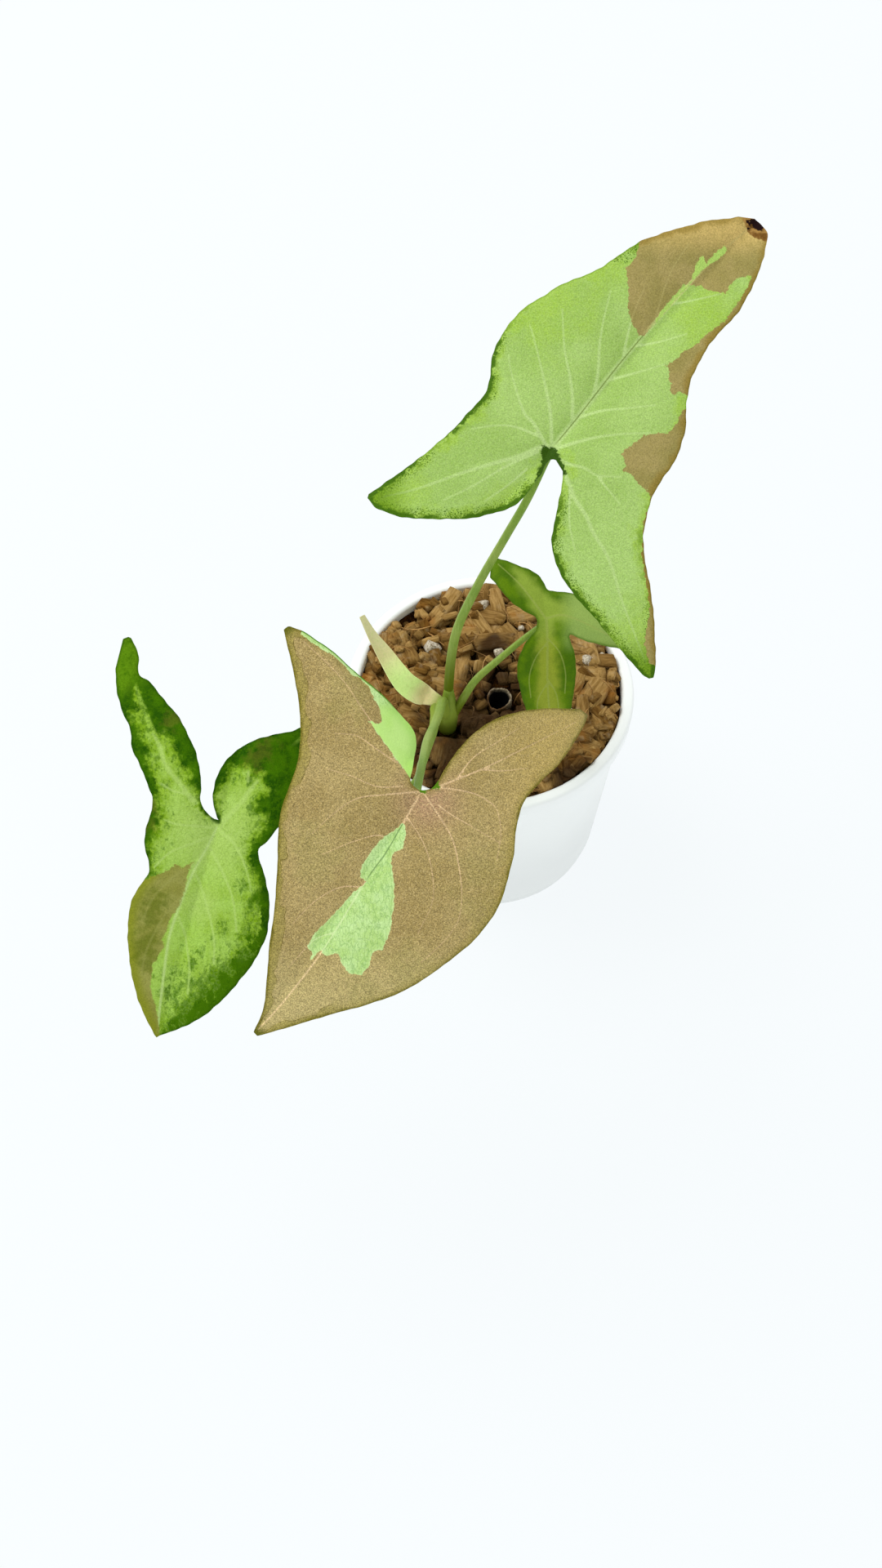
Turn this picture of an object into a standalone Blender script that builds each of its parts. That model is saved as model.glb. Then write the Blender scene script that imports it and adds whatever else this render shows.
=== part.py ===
"""Arrowhead plant in a round white nursery pot.

Sizes are in millimetres and are turned into metres where a mesh is made. The origin is the centre
of the pot's foot, +Z is up, and -Y is the front, where the two large leaves hang out.
"""
import math
import random

import bmesh
import bpy
from mathutils import Vector
from mathutils.geometry import delaunay_2d_cdt

MM = 0.001
GAP = 0.3

# Pot
POT_HEIGHT = 58.0
RIM_RADIUS = 35.0
RIM_DEPTH = 4.6
RIM_ROUND = 0.5
WALL_TOP_RADIUS = 33.0
WALL_FOOT_RADIUS = 28.2
FOOT_RADIUS = 27.5
FOOT_STEP = 3.6
FOOT_ROUND = 0.6
WALL = 1.4
FLOOR = 1.6
POT_SEGMENTS = 64
DRAIN_HOLES = 6
DRAIN_RADIUS = 2.6
DRAIN_RING = 17.0
CUT_PAST = 2.0

# Potting mix
MIX_LEVEL = 55.4
MIX_MOUND = 1.8
MIX_GRID = 1.9
CHIP_COUNT = 120
CHIP_SEED = 11
CHIP_LENGTH = (6.0, 12.0)
CHIP_WIDTH = (3.5, 6.5)
CHIP_RISE = (0.4, 3.4)
CHIP_SLOPE = 0.22
MIX_RIM_BAND = 2.0
MIX_RIM_SHARE = 0.35
PIT_PLACE = (2.0, -3.4)
PIT_RADIUS = 3.0
PIT_DEPTH = 3.0

# Crown, the short main stem
CROWN_PLACE = (-10.5, -11.5)
CROWN_RADIUS = 3.5
CROWN_FOOT_RADIUS = 2.6
CROWN_TAPER = 1.2
CROWN_FOOT = 40.0
CROWN_TOP = 64.0
CROWN_ROUND = 0.5
CROWN_SEGMENTS = 24
STALK_RING = 2.1

# Leaves and stalks
BLADE = 0.8
SIDE_SPAN = 25.0
BLADE_PITCH = math.radians(33.0)
BLADE_EDGE = 2.6
BLADE_GRID = 3.6
BLADE_CLEAR = 1.8
STALK_STEP = 3.6
STALK_SIDES = 2
STALK_LEAD = 2.5

RIGHT = Vector((1.0, 0.0, 0.0))
UP = Vector((0.0, math.cos(BLADE_PITCH), math.sin(BLADE_PITCH)))
FACE = RIGHT.cross(UP)


class Crease:
    """A line across a blade beyond which the blade turns back."""

    def __init__(self, at, across, soft, slope=0.0, curve=0.0, fade=0.0):
        self.at = at
        self.across = Vector(across).normalized()
        self.soft = soft
        self.slope = slope
        self.curve = curve
        self.fade = fade

    def drop(self, s, t):
        """How far the blade lies behind its plane at this point."""
        ds = s - self.at[0]
        dt = t - self.at[1]
        past = ds * self.across.x + dt * self.across.y
        if past < -self.soft:
            return 0.0
        if past < self.soft:
            past = (past + self.soft) ** 2 / (4.0 * self.soft)
        share = 1.0
        if self.fade:
            along = (dt * self.across.x - ds * self.across.y) / self.fade
            share = smooth_step(along)
        return share * (self.slope * past + self.curve * past * past)


class Leaf:
    """One blade: outline runs in its own plane, from the point where the stalk joins."""

    def __init__(self, name, joins, tip, runs, bends, creases=(), waves=(0.0, 0, 0.0)):
        self.name = name
        self.joins = Vector(joins)
        self.tip = Vector(tip)
        self.runs = runs
        self.fold, self.fold_width, self.side_droop, self.tip_droop, self.lobe_droop = bends
        self.creases = creases
        self.wave_height, self.wave_count, self.wave_start = waves

    def lift(self, s, t):
        """Height of the blade above its plane at a point of the plane."""
        length = self.tip.length
        along = (s * self.tip.x + t * self.tip.y) / length
        side = abs(t * self.tip.x - s * self.tip.y) / length
        height = self.fold * (1.0 - math.exp(-side / self.fold_width))
        height -= self.side_droop * (side / SIDE_SPAN) ** 2
        droop = self.tip_droop if along > 0.0 else self.lobe_droop
        height -= droop * (along / length) ** 2
        turn = math.atan2(t, s) * self.wave_count + self.wave_start
        height += self.wave_height * math.sin(turn) * min(math.hypot(s, t) / length, 1.0) ** 2
        for crease in self.creases:
            height -= crease.drop(s, t)
        return height

    def place(self, s, t, off=0.0):
        """A point of the blade in the object's frame, off to one side by a half thickness."""
        step = 0.05
        slope_s = (self.lift(s + step, t) - self.lift(s - step, t)) / (2.0 * step)
        slope_t = (self.lift(s, t + step) - self.lift(s, t - step)) / (2.0 * step)
        normal = (FACE - RIGHT * slope_s - UP * slope_t).normalized()
        return self.joins + RIGHT * s + UP * t + FACE * self.lift(s, t) + normal * off


LEAF_TALL = Leaf(
    "leaf_tall",
    joins=(9.7, -15.2, 161.0),
    tip=(41.0, 46.0),
    runs=(
        ((42.0, 48.4), (44.4, 45.5), (44.2, 42.5), (42.3, 36.5), (38.5, 29.0), (32.5, 22.0),
         (28.8, 15.5), (27.3, 9.5), (27.0, 4.0), (25.2, -1.5), (20.8, -8.5), (18.9, -15.0),
         (19.0, -21.0), (20.6, -29.5), (21.6, -41.0), (21.2, -45.0)),
        ((20.3, -45.2), (17.5, -43.0), (10.2, -34.6), (2.8, -25.8), (0.4, -18.5), (1.5, -11.5),
         (2.6, -5.5), (1.9, -2.6), (0.5, -1.8), (-0.9, -2.6), (-2.2, -5.3), (-6.4, -10.5),
         (-10.9, -12.2), (-15.3, -13.4), (-22.0, -13.6), (-28.5, -13.3), (-34.4, -11.4), (-36.4, -9.2)),
        ((-36.2, -8.4), (-31.0, -5.0), (-22.3, 1.5), (-14.4, 9.4), (-12.3, 13.0), (-10.8, 20.8),
         (-5.9, 27.7), (1.8, 32.9), (9.9, 36.6), (17.0, 41.6), (22.0, 43.9), (31.0, 46.9), (38.5, 48.4)),
    ),
    bends=(2.2, 6.0, 2.0, 7.0, 8.0),
    waves=(0.5, 5, 0.6),
)

LEAF_FRONT = Leaf(
    "leaf_front",
    joins=(-15.1, -71.7, 124.4),
    tip=(-34.0, -49.0),
    runs=(
        ((-28.5, 31.8), (-27.6, 32.4), (-26.6, 32.2), (-23.5, 30.8), (-18.4, 26.9), (-13.2, 22.5),
         (-9.8, 19.4), (-5.8, 15.6), (-3.0, 12.2), (-2.0, 9.0), (-2.5, 4.5), (-3.0, 1.5),
         (-1.6, -0.2), (0.0, -0.4), (1.8, 0.4), (4.1, 4.1), (7.0, 8.2), (10.5, 11.6),
         (14.4, 14.0), (20.0, 15.7), (26.0, 16.4), (32.2, 16.4)),
        ((34.2, 15.4), (31.5, 10.6), (27.5, 5.3), (23.2, 1.2), (19.6, -2.9), (18.1, -8.5),
         (17.5, -13.7), (16.1, -19.4), (14.3, -24.2), (10.9, -29.1), (6.4, -33.3), (2.0, -36.6),
         (-3.4, -40.1), (-9.2, -42.6), (-20.7, -46.0), (-30.5, -49.1), (-34.0, -50.1)),
        ((-34.8, -49.3), (-32.7, -44.4), (-31.9, -37.9), (-31.3, -31.5), (-30.3, -24.5),
         (-29.7, -17.0), (-29.4, -9.0), (-28.7, -4.0), (-27.0, 0.8), (-25.5, 5.4), (-25.0, 11.0),
         (-25.3, 16.7), (-26.4, 23.1), (-27.7, 28.4)),
    ),
    bends=(1.5, 6.0, 1.5, 5.0, 4.0),
    creases=(
        Crease((6.3, 3.0), (0.9, 0.43), soft=3.0, curve=0.027),
        Crease((-3.4, 2.1), (0.821, 0.571), soft=1.0, slope=1.1, fade=3.0),
    ),
    waves=(0.4, 4, 1.0),
)

LEAF_LEFT = Leaf(
    "leaf_left",
    joins=(-57.0, -74.2, 115.5),
    tip=(-12.3, -43.0),
    runs=(
        ((-20.2, 37.4), (-18.8, 37.6), (-17.6, 35.8), (-16.6, 33.4), (-16.6, 30.2), (-14.3, 28.6),
         (-11.9, 25.7), (-8.8, 22.2), (-6.4, 18.2), (-4.3, 13.5), (-3.5, 8.3), (-3.4, 4.0),
         (-2.2, 1.8), (-0.8, 0.7)),
        ((0.0, 0.4), (-0.7, 2.5), (-1.1, 6.0), (-0.2, 9.4), (1.6, 12.6), (3.6, 14.6),
         (6.6, 16.4), (10.0, 17.5), (16.0, 19.3), (20.8, 23.8)),
        ((22.2, 25.2), (20.6, 17.4), (17.6, 9.6), (13.7, 1.4), (10.4, -3.3), (8.2, -5.8),
         (9.1, -9.9), (10.2, -14.3), (10.3, -18.5), (9.6, -23.1), (7.5, -27.6), (4.4, -31.8),
         (0.9, -35.8), (-2.7, -38.9), (-6.3, -41.2), (-12.2, -43.6)),
        ((-13.2, -43.8), (-15.3, -39.7), (-16.8, -35.2), (-17.9, -30.0), (-18.4, -24.6),
         (-18.3, -19.0), (-17.0, -14.6), (-14.0, -9.9), (-14.6, -5.5), (-14.6, -1.6), (-13.2, 3.6),
         (-14.0, 7.5), (-15.7, 11.3), (-17.5, 15.2), (-17.9, 19.0), (-19.7, 22.6), (-20.8, 26.8),
         (-21.3, 31.2)),
    ),
    bends=(2.5, 5.0, 2.0, 5.0, 9.0),
    creases=(Crease((5.4, 5.9), (0.68, 0.74), soft=3.0, curve=0.019),),
    waves=(0.9, 6, 0.0),
)

LEAF_BACK = Leaf(
    "leaf_back",
    joins=(11.7, -10.2, 98.6),
    tip=(4.0, -31.0),
    runs=(
        ((-12.4, 13.4), (-11.2, 14.2), (-5.1, 12.1), (-1.6, 10.1), (0.2, 7.2), (1.6, 6.6),
         (6.0, 6.0), (10.5, 2.0), (16.3, -2.8), (19.4, -5.6)),
        ((19.2, -6.7), (13.6, -5.7), (8.0, -4.3), (5.2, -3.2), (5.7, -5.5), (6.6, -8.6),
         (6.7, -12.8), (6.2, -17.1), (5.0, -23.6), (3.9, -30.2)),
        ((3.4, -31.2), (-0.8, -26.2), (-4.6, -19.3), (-6.3, -12.8), (-6.3, -8.5), (-4.2, -4.3),
         (-2.2, -1.8), (-2.4, 0.8), (-5.2, 2.1), (-8.8, 5.2), (-12.6, 9.8)),
    ),
    bends=(1.5, 4.0, 2.0, 16.0, 10.0),
    waves=(0.3, 4, 0.0),
)

LEAVES = (LEAF_TALL, LEAF_FRONT, LEAF_LEFT, LEAF_BACK)

# Each stalk: the blade that it carries, its place round the crown, the points between crown and
# blade, and its radius at foot and top
STALKS = (
    ("stalk_tall", LEAF_TALL, (0.0, 0.0), 60.0,
     ((-10.2, -10.6, 74.0), (-8.7, -11.6, 95.3), (-4.2, -13.2, 114.6), (1.5, -15.4, 134.3),
      (5.7, -16.0, 147.3)), 1.1, 0.85),
    ("stalk_front", LEAF_FRONT, (-1.3, -1.2), 268.0,
     ((-10.9, -16.6, 70.6), (-11.7, -24.0, 79.6), (-13.1, -35.2, 93.0), (-14.6, -47.7, 105.6),
      (-15.7, -60.0, 115.3)), 1.1, 0.85),
    ("stalk_left", LEAF_LEFT, (0.2, -1.2), 195.0,
     ((-13.5, -15.2, 68.2), (-13.3, -20.6, 71.8), (-13.5, -28.0, 78.8), (-14.3, -38.6, 89.4),
      (-15.5, -48.5, 98.2), (-17.4, -57.6, 104.0), (-26.0, -66.0, 106.8), (-39.0, -71.0, 108.2),
      (-49.5, -73.2, 110.4)), 1.1, 0.8),
    ("stalk_back", LEAF_BACK, (0.0, 0.5), 350.0,
     ((-6.8, -11.4, 70.0), (-3.8, -10.8, 76.9), (1.5, -10.4, 84.5), (7.0, -9.0, 90.4)), 1.0, 0.7),
)

# Young leaf: middle line, with width, thickness and how far round it is rolled
YOUNG_FOOT_TURN = 130.0
YOUNG_LEAD = 1.5
YOUNG_TOWARDS = Vector((0.02, -0.58, 0.81))
YOUNG_LINE = (
    ((-13.6, -9.9, 68.0), 2.0, 1.8, 0.3),
    ((-15.6, -10.2, 69.6), 4.6, 1.2, 1.2),
    ((-17.6, -10.4, 71.4), 6.4, 0.9, 1.8),
    ((-21.0, -9.6, 75.0), 6.2, 0.9, 2.0),
    ((-25.4, -5.9, 81.0), 4.2, 0.9, 2.2),
    ((-28.0, -3.6, 84.6), 2.7, 0.8, 1.8),
    ((-30.3, -0.8, 88.1), 1.3, 0.8, 0.6),
)
YOUNG_STEP = 1.0
YOUNG_RINGS = 24
YOUNG_ACROSS = 7
YOUNG_EDGE_SHARE = 0.5
YOUNG_LEAST_ROLL = 0.05


def smooth_step(x):
    """A smooth rise from 0 to 1."""
    x = min(max(x, 0.0), 1.0)
    return x * x * (3.0 - 2.0 * x)


def smooth_run(points, step):
    """A smooth curve through the points, read off at even steps."""
    points = [Vector(p) for p in points]
    ends = [points[0] * 2.0 - points[1]] + points + [points[-1] * 2.0 - points[-2]]
    fine = [points[0]]
    for p0, p1, p2, p3 in zip(ends, ends[1:], ends[2:], ends[3:]):
        pieces = max(2, math.ceil((p2 - p1).length / (step / 8.0)))
        for i in range(1, pieces + 1):
            u = i / pieces
            fine.append(0.5 * ((2.0 * p1) + (p2 - p0) * u + (2.0 * p0 - 5.0 * p1 + 4.0 * p2 - p3) * u ** 2
                               + (3.0 * p1 - p0 - 3.0 * p2 + p3) * u ** 3))
    lengths = [0.0]
    for a, b in zip(fine, fine[1:]):
        lengths.append(lengths[-1] + (b - a).length)
    count = max(1, round(lengths[-1] / step))
    read = []
    at = 0
    for i in range(count + 1):
        want = lengths[-1] * i / count
        while at < len(fine) - 2 and lengths[at + 1] < want:
            at += 1
        span = lengths[at + 1] - lengths[at]
        read.append(fine[at].lerp(fine[at + 1], (want - lengths[at]) / span if span else 0.0))
    return read


def closed_outline(runs, step):
    """The runs joined end to end into one ring of points."""
    ring = []
    for run, following in zip(runs, runs[1:] + runs[:1]):
        ring += smooth_run(run, step)
        if (ring[-1] - Vector(following[0])).length < 0.01:
            ring.pop()
    return ring


def distance_to_ring(point, ring):
    """Shortest way from a point to the ring's sides."""
    best = math.inf
    for a, b in zip(ring, ring[1:] + ring[:1]):
        side = b - a
        share = min(max((point - a).dot(side) / side.length_squared, 0.0), 1.0)
        best = min(best, (point - a - side * share).length)
    return best


def fill_ring(ring, grid, clear):
    """Triangles inside a ring: its own points and an even grid of points in the middle."""
    low_x = min(p.x for p in ring)
    high_x = max(p.x for p in ring)
    low_y = min(p.y for p in ring)
    high_y = max(p.y for p in ring)
    points = list(ring)
    rows = math.ceil((high_y - low_y) / (grid * math.sqrt(0.75)))
    for row in range(rows + 1):
        y = low_y + row * grid * math.sqrt(0.75)
        x = low_x + (row % 2) * grid / 2.0
        while x < high_x:
            point = Vector((x, y))
            if distance_to_ring(point, ring) > clear:
                points.append(point)
            x += grid
    sides = [(i, (i + 1) % len(ring)) for i in range(len(ring))]
    found = delaunay_2d_cdt(points, sides, [], 1, 1e-6)
    return [Vector(p) for p in found[0]], found[2]


def rim_sides(faces):
    """Directed sides that belong to one face only, in the faces' own sense."""
    sides = {(f[i], f[(i + 1) % len(f)]) for f in faces for i in range(len(f))}
    return [(a, b) for a, b in sides if (b, a) not in sides]


def sheet_solid(name, top, bottom, faces, material):
    """A closed solid between two like sheets of points, joined round the rim."""
    mesh = bpy.data.meshes.new(name)
    count = len(top)
    solid = [tuple(f) for f in faces]
    solid += [tuple(reversed([i + count for i in f])) for f in faces]
    for a, b in rim_sides(faces):
        solid.append((b, a, a + count))
        solid.append((b, a + count, b + count))
    mesh.from_pydata([p * MM for p in top + bottom], [], solid)
    mesh.update()
    piece = bpy.data.objects.new(name, mesh)
    bpy.context.collection.objects.link(piece)
    mesh.materials.append(material)
    return piece


def shade(piece, angle=40.0):
    """Smooth shading that keeps true corners."""
    piece.data.shade_smooth()
    piece.data.set_sharp_from_angle(angle=math.radians(angle))
    return piece


def material(name, colour, roughness):
    """A plain Principled finish."""
    finish = bpy.data.materials.new(name)
    finish.use_nodes = True
    shader = finish.node_tree.nodes["Principled BSDF"]
    shader.inputs["Base Color"].default_value = (*colour, 1.0)
    shader.inputs["Roughness"].default_value = roughness
    shader.inputs["Metallic"].default_value = 0.0
    return finish


def cylinder(name, place, low, high, radius, sides):
    """An upright cylinder between two heights."""
    bm = bmesh.new()
    bmesh.ops.create_cone(bm, cap_ends=True, segments=sides, radius1=radius * MM, radius2=radius * MM,
                          depth=(high - low) * MM)
    mesh = bpy.data.meshes.new(name)
    bm.to_mesh(mesh)
    bm.free()
    piece = bpy.data.objects.new(name, mesh)
    bpy.context.collection.objects.link(piece)
    piece.location = (place[0] * MM, place[1] * MM, (low + high) / 2.0 * MM)
    return piece


def cut(piece, cutter):
    """Take the cutter's shape out of the piece."""
    cutter.hide_render = True
    cutter.display_type = "WIRE"
    change = piece.modifiers.new("cut " + cutter.name, "BOOLEAN")
    change.operation = "DIFFERENCE"
    change.solver = "EXACT"
    change.object = cutter


def inner_radius(z):
    """Inside of the pot's wall at a height."""
    share = (z - FOOT_STEP) / (POT_HEIGHT - RIM_DEPTH - FOOT_STEP)
    return WALL_FOOT_RADIUS + (WALL_TOP_RADIUS - WALL_FOOT_RADIUS) * share - WALL


def make_pot(finish):
    """The pot, turned from one profile, with a ring of drain holes in its floor."""
    lip = POT_HEIGHT - RIM_DEPTH
    inner_top = inner_radius(POT_HEIGHT)
    profile = (
        (0.0, FLOOR), (inner_radius(FLOOR), FLOOR), (inner_top, POT_HEIGHT - RIM_ROUND),
        (inner_top + RIM_ROUND, POT_HEIGHT), (RIM_RADIUS - RIM_ROUND, POT_HEIGHT),
        (RIM_RADIUS, POT_HEIGHT - RIM_ROUND), (RIM_RADIUS, lip + RIM_ROUND),
        (RIM_RADIUS - RIM_ROUND, lip), (WALL_TOP_RADIUS, lip), (WALL_FOOT_RADIUS, FOOT_STEP),
        (FOOT_RADIUS, FOOT_STEP - FOOT_ROUND), (FOOT_RADIUS, FOOT_ROUND),
        (FOOT_RADIUS - FOOT_ROUND, 0.0), (0.0, 0.0),
    )
    mesh = bpy.data.meshes.new("pot")
    mesh.from_pydata([(r * MM, 0.0, z * MM) for r, z in profile],
                     [(i, i + 1) for i in range(len(profile) - 1)], [])
    pot = bpy.data.objects.new("pot", mesh)
    bpy.context.collection.objects.link(pot)
    mesh.materials.append(finish)
    turn = pot.modifiers.new("turn", "SCREW")
    turn.steps = POT_SEGMENTS
    turn.render_steps = POT_SEGMENTS
    turn.use_merge_vertices = True
    turn.merge_threshold = 0.00001
    turn.use_smooth_shade = True
    for i in range(DRAIN_HOLES):
        angle = math.tau * i / DRAIN_HOLES
        place = (DRAIN_RING * math.cos(angle), DRAIN_RING * math.sin(angle))
        cut(pot, cylinder(f"drain_cutter_{i}", place, -CUT_PAST, FLOOR + CUT_PAST, DRAIN_RADIUS, 16))
    return pot


def lay_chips():
    """Places, turns and sizes of the chips that show on top of the mix."""
    draw = random.Random(CHIP_SEED)
    chips = []
    for _ in range(CHIP_COUNT):
        radius = math.sqrt(draw.random()) * (inner_radius(POT_HEIGHT) - 1.0)
        angle = draw.uniform(0.0, math.tau)
        chips.append({
            "x": radius * math.cos(angle),
            "y": radius * math.sin(angle),
            "turn": draw.uniform(0.0, math.pi),
            "length": draw.uniform(*CHIP_LENGTH),
            "width": draw.uniform(*CHIP_WIDTH),
            "rise": draw.uniform(*CHIP_RISE),
            "slope": (draw.uniform(-CHIP_SLOPE, CHIP_SLOPE), draw.uniform(-CHIP_SLOPE, CHIP_SLOPE)),
        })
    return chips


def mound(x, y):
    """Height of the mix before the chips."""
    share = math.hypot(x, y) / inner_radius(POT_HEIGHT)
    return MIX_LEVEL + MIX_MOUND * (1.0 - share ** 2)


def mix_height(x, y, chips):
    """Top of the mix: the highest chip over each point, with a pit."""
    height = mound(x, y)
    for chip in chips:
        dx = x - chip["x"]
        dy = y - chip["y"]
        along = dx * math.cos(chip["turn"]) + dy * math.sin(chip["turn"])
        across = dy * math.cos(chip["turn"]) - dx * math.sin(chip["turn"])
        inside = (2.0 * along / chip["length"]) ** 4 + (2.0 * across / chip["width"]) ** 4
        if inside < 1.0:
            top = mound(chip["x"], chip["y"]) + chip["rise"]
            top += along * chip["slope"][0] + across * chip["slope"][1]
            height = max(height, top)
    away = math.hypot(x - PIT_PLACE[0], y - PIT_PLACE[1]) / PIT_RADIUS
    height = height + (MIX_LEVEL - PIT_DEPTH - height) * smooth_step(1.4 - away)
    rim = (inner_radius(POT_HEIGHT) - math.hypot(x, y)) / MIX_RIM_BAND
    share = MIX_RIM_SHARE + (1.0 - MIX_RIM_SHARE) * smooth_step(rim)
    return MIX_LEVEL + (height - MIX_LEVEL) * share


def make_mix(finish):
    """The potting mix: a tapered plug with a chipped top and a hole for the crown."""
    top_radius = inner_radius(MIX_LEVEL) - GAP
    sides = round(math.tau * top_radius / MIX_GRID / 1.4)
    ring = [Vector((top_radius * math.cos(math.tau * i / sides), top_radius * math.sin(math.tau * i / sides)))
            for i in range(sides)]
    points, faces = fill_ring(ring, MIX_GRID, MIX_GRID * 0.6)
    chips = lay_chips()
    top = [Vector((p.x, p.y, mix_height(p.x, p.y, chips))) for p in points]
    foot = FLOOR + GAP
    narrow = (inner_radius(foot) - GAP) / top_radius
    bottom = [Vector((p.x * narrow, p.y * narrow, foot)) for p in points]
    mix = sheet_solid("potting_mix", top, bottom, faces, finish)
    mix.data.shade_flat()
    hole = cylinder("crown_cutter", CROWN_PLACE, CROWN_FOOT - GAP, CROWN_TOP + CUT_PAST,
                    CROWN_RADIUS + GAP, CROWN_SEGMENTS)
    cut(mix, hole)
    return mix


def make_crown(finish):
    """The short main stem, in its hole."""
    rings = (
        (CROWN_FOOT, CROWN_FOOT_RADIUS - CROWN_TAPER), (CROWN_FOOT + CROWN_TAPER, CROWN_FOOT_RADIUS),
        (MIX_LEVEL, CROWN_RADIUS), (CROWN_TOP - CROWN_ROUND, CROWN_RADIUS),
        (CROWN_TOP, CROWN_RADIUS - CROWN_ROUND),
    )
    bm = bmesh.new()
    layers = []
    for z, radius in rings:
        layer = []
        for i in range(CROWN_SEGMENTS):
            angle = math.tau * i / CROWN_SEGMENTS
            layer.append(bm.verts.new(((CROWN_PLACE[0] + radius * math.cos(angle)) * MM,
                                       (CROWN_PLACE[1] + radius * math.sin(angle)) * MM, z * MM)))
        layers.append(layer)
    for low, high in zip(layers, layers[1:]):
        for i in range(CROWN_SEGMENTS):
            j = (i + 1) % CROWN_SEGMENTS
            bm.faces.new((low[i], low[j], high[j], high[i]))
    bm.faces.new(list(reversed(layers[0])))
    bm.faces.new(layers[-1])
    mesh = bpy.data.meshes.new("crown")
    bm.to_mesh(mesh)
    bm.free()
    mesh.materials.append(finish)
    crown = bpy.data.objects.new("crown", mesh)
    bpy.context.collection.objects.link(crown)
    return shade(crown)


def crown_foot(turn):
    """Where a stalk stands on the crown's top."""
    angle = math.radians(turn)
    return Vector((CROWN_PLACE[0] + STALK_RING * math.cos(angle),
                   CROWN_PLACE[1] + STALK_RING * math.sin(angle), CROWN_TOP + GAP))


def stalk_route(leaf, joins_at, turn, between):
    """The stalk's middle line, straight for a short way at both ends."""
    foot = crown_foot(turn)
    top = leaf.place(*joins_at, off=-(BLADE / 2.0 + GAP))
    below = leaf.place(*joins_at, off=-(BLADE / 2.0 + GAP + STALK_LEAD))
    lead = foot + Vector((0.0, 0.0, STALK_LEAD))
    middle = smooth_run([lead] + [Vector(p) for p in between] + [below], STALK_STEP)
    return [foot] + middle + [top]


def make_stalk(name, leaf, joins_at, turn, between, foot_radius, top_radius, finish):
    """A round stalk that thins towards the blade."""
    route = stalk_route(leaf, joins_at, turn, between)
    curve = bpy.data.curves.new(name, "CURVE")
    curve.dimensions = "3D"
    curve.bevel_depth = MM
    curve.bevel_resolution = STALK_SIDES
    curve.use_fill_caps = True
    spline = curve.splines.new("POLY")
    spline.points.add(len(route) - 1)
    for i, point in enumerate(route):
        share = i / (len(route) - 1)
        spline.points[i].co = (*(point * MM), 1.0)
        spline.points[i].radius = foot_radius + (top_radius - foot_radius) * share
    curve.materials.append(finish)
    stalk = bpy.data.objects.new(name, curve)
    bpy.context.collection.objects.link(stalk)
    return stalk


def make_blade(leaf, finish):
    """One blade, split into like triangles on both faces."""
    ring = closed_outline(leaf.runs, BLADE_EDGE)
    points, faces = fill_ring(ring, BLADE_GRID, BLADE_CLEAR)
    top = [leaf.place(p.x, p.y, BLADE / 2.0) for p in points]
    bottom = [leaf.place(p.x, p.y, -BLADE / 2.0) for p in points]
    return shade(sheet_solid(leaf.name, top, bottom, faces, finish))


def make_young_leaf(finish):
    """The half-rolled young leaf, lofted along its middle line."""
    foot = crown_foot(YOUNG_FOOT_TURN)
    first = YOUNG_LINE[0]
    line = [foot, foot + Vector((0.0, 0.0, YOUNG_LEAD))] + [Vector(row[0]) for row in YOUNG_LINE]
    sizes = [first[1:], first[1:]] + [row[1:] for row in YOUNG_LINE]
    middle = smooth_run(line, YOUNG_STEP)
    spans = [(b - a).length for a, b in zip(line, line[1:])]
    marks = [sum(spans[:i]) / sum(spans) for i in range(len(line))]
    picks = [middle[round(i * (len(middle) - 1) / YOUNG_RINGS)] for i in range(YOUNG_RINGS + 1)]
    bm = bmesh.new()
    rings = []
    for i, point in enumerate(picks):
        share = i / YOUNG_RINGS
        width, thick, roll = read_sizes(marks, sizes, share)
        ahead = picks[min(i + 1, YOUNG_RINGS)] - picks[max(i - 1, 0)]
        if i == 0:
            ahead = Vector((0.0, 0.0, 1.0))
        across = ahead.cross(YOUNG_TOWARDS).normalized()
        face = across.cross(ahead.normalized())
        rings.append([bm.verts.new(p * MM) for p in roll_section(point, across, face, width, thick, roll)])
    for low, high in zip(rings, rings[1:]):
        for i in range(len(low)):
            j = (i + 1) % len(low)
            bm.faces.new((low[i], low[j], high[j], high[i]))
    bm.faces.new(list(reversed(rings[0])))
    bm.faces.new(rings[-1])
    bmesh.ops.triangulate(bm, faces=bm.faces[:])
    bmesh.ops.recalc_face_normals(bm, faces=bm.faces[:])
    mesh = bpy.data.meshes.new("leaf_young")
    bm.to_mesh(mesh)
    bm.free()
    mesh.materials.append(finish)
    leaf = bpy.data.objects.new("leaf_young", mesh)
    bpy.context.collection.objects.link(leaf)
    return shade(leaf)


def read_sizes(marks, sizes, share):
    """Width, thickness and roll at a share of the length."""
    for i in range(len(marks) - 1):
        if share <= marks[i + 1] or i == len(marks) - 2:
            part = (share - marks[i]) / (marks[i + 1] - marks[i])
            part = smooth_step(part)
            return [a + (b - a) * part for a, b in zip(sizes[i], sizes[i + 1])]
    return sizes[-1]


def roll_section(point, across, face, width, thick, roll):
    """A closed band section: an arc of the given width, bent round by the roll angle."""
    radius = width / max(roll, YOUNG_LEAST_ROLL)
    centre = point + face * radius
    outer = []
    inner = []
    for i in range(YOUNG_ACROSS):
        angle = (i / (YOUNG_ACROSS - 1) - 0.5) * roll
        bulge = math.sqrt(max(0.0, 1.0 - (2.0 * i / (YOUNG_ACROSS - 1) - 1.0) ** 2))
        taper = YOUNG_EDGE_SHARE + (1.0 - YOUNG_EDGE_SHARE) * bulge
        ray = across * math.sin(angle) - face * math.cos(angle)
        outer.append(centre + ray * (radius + thick * taper / 2.0))
        inner.append(centre + ray * (radius - thick * taper / 2.0))
    return outer + list(reversed(inner))


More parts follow.
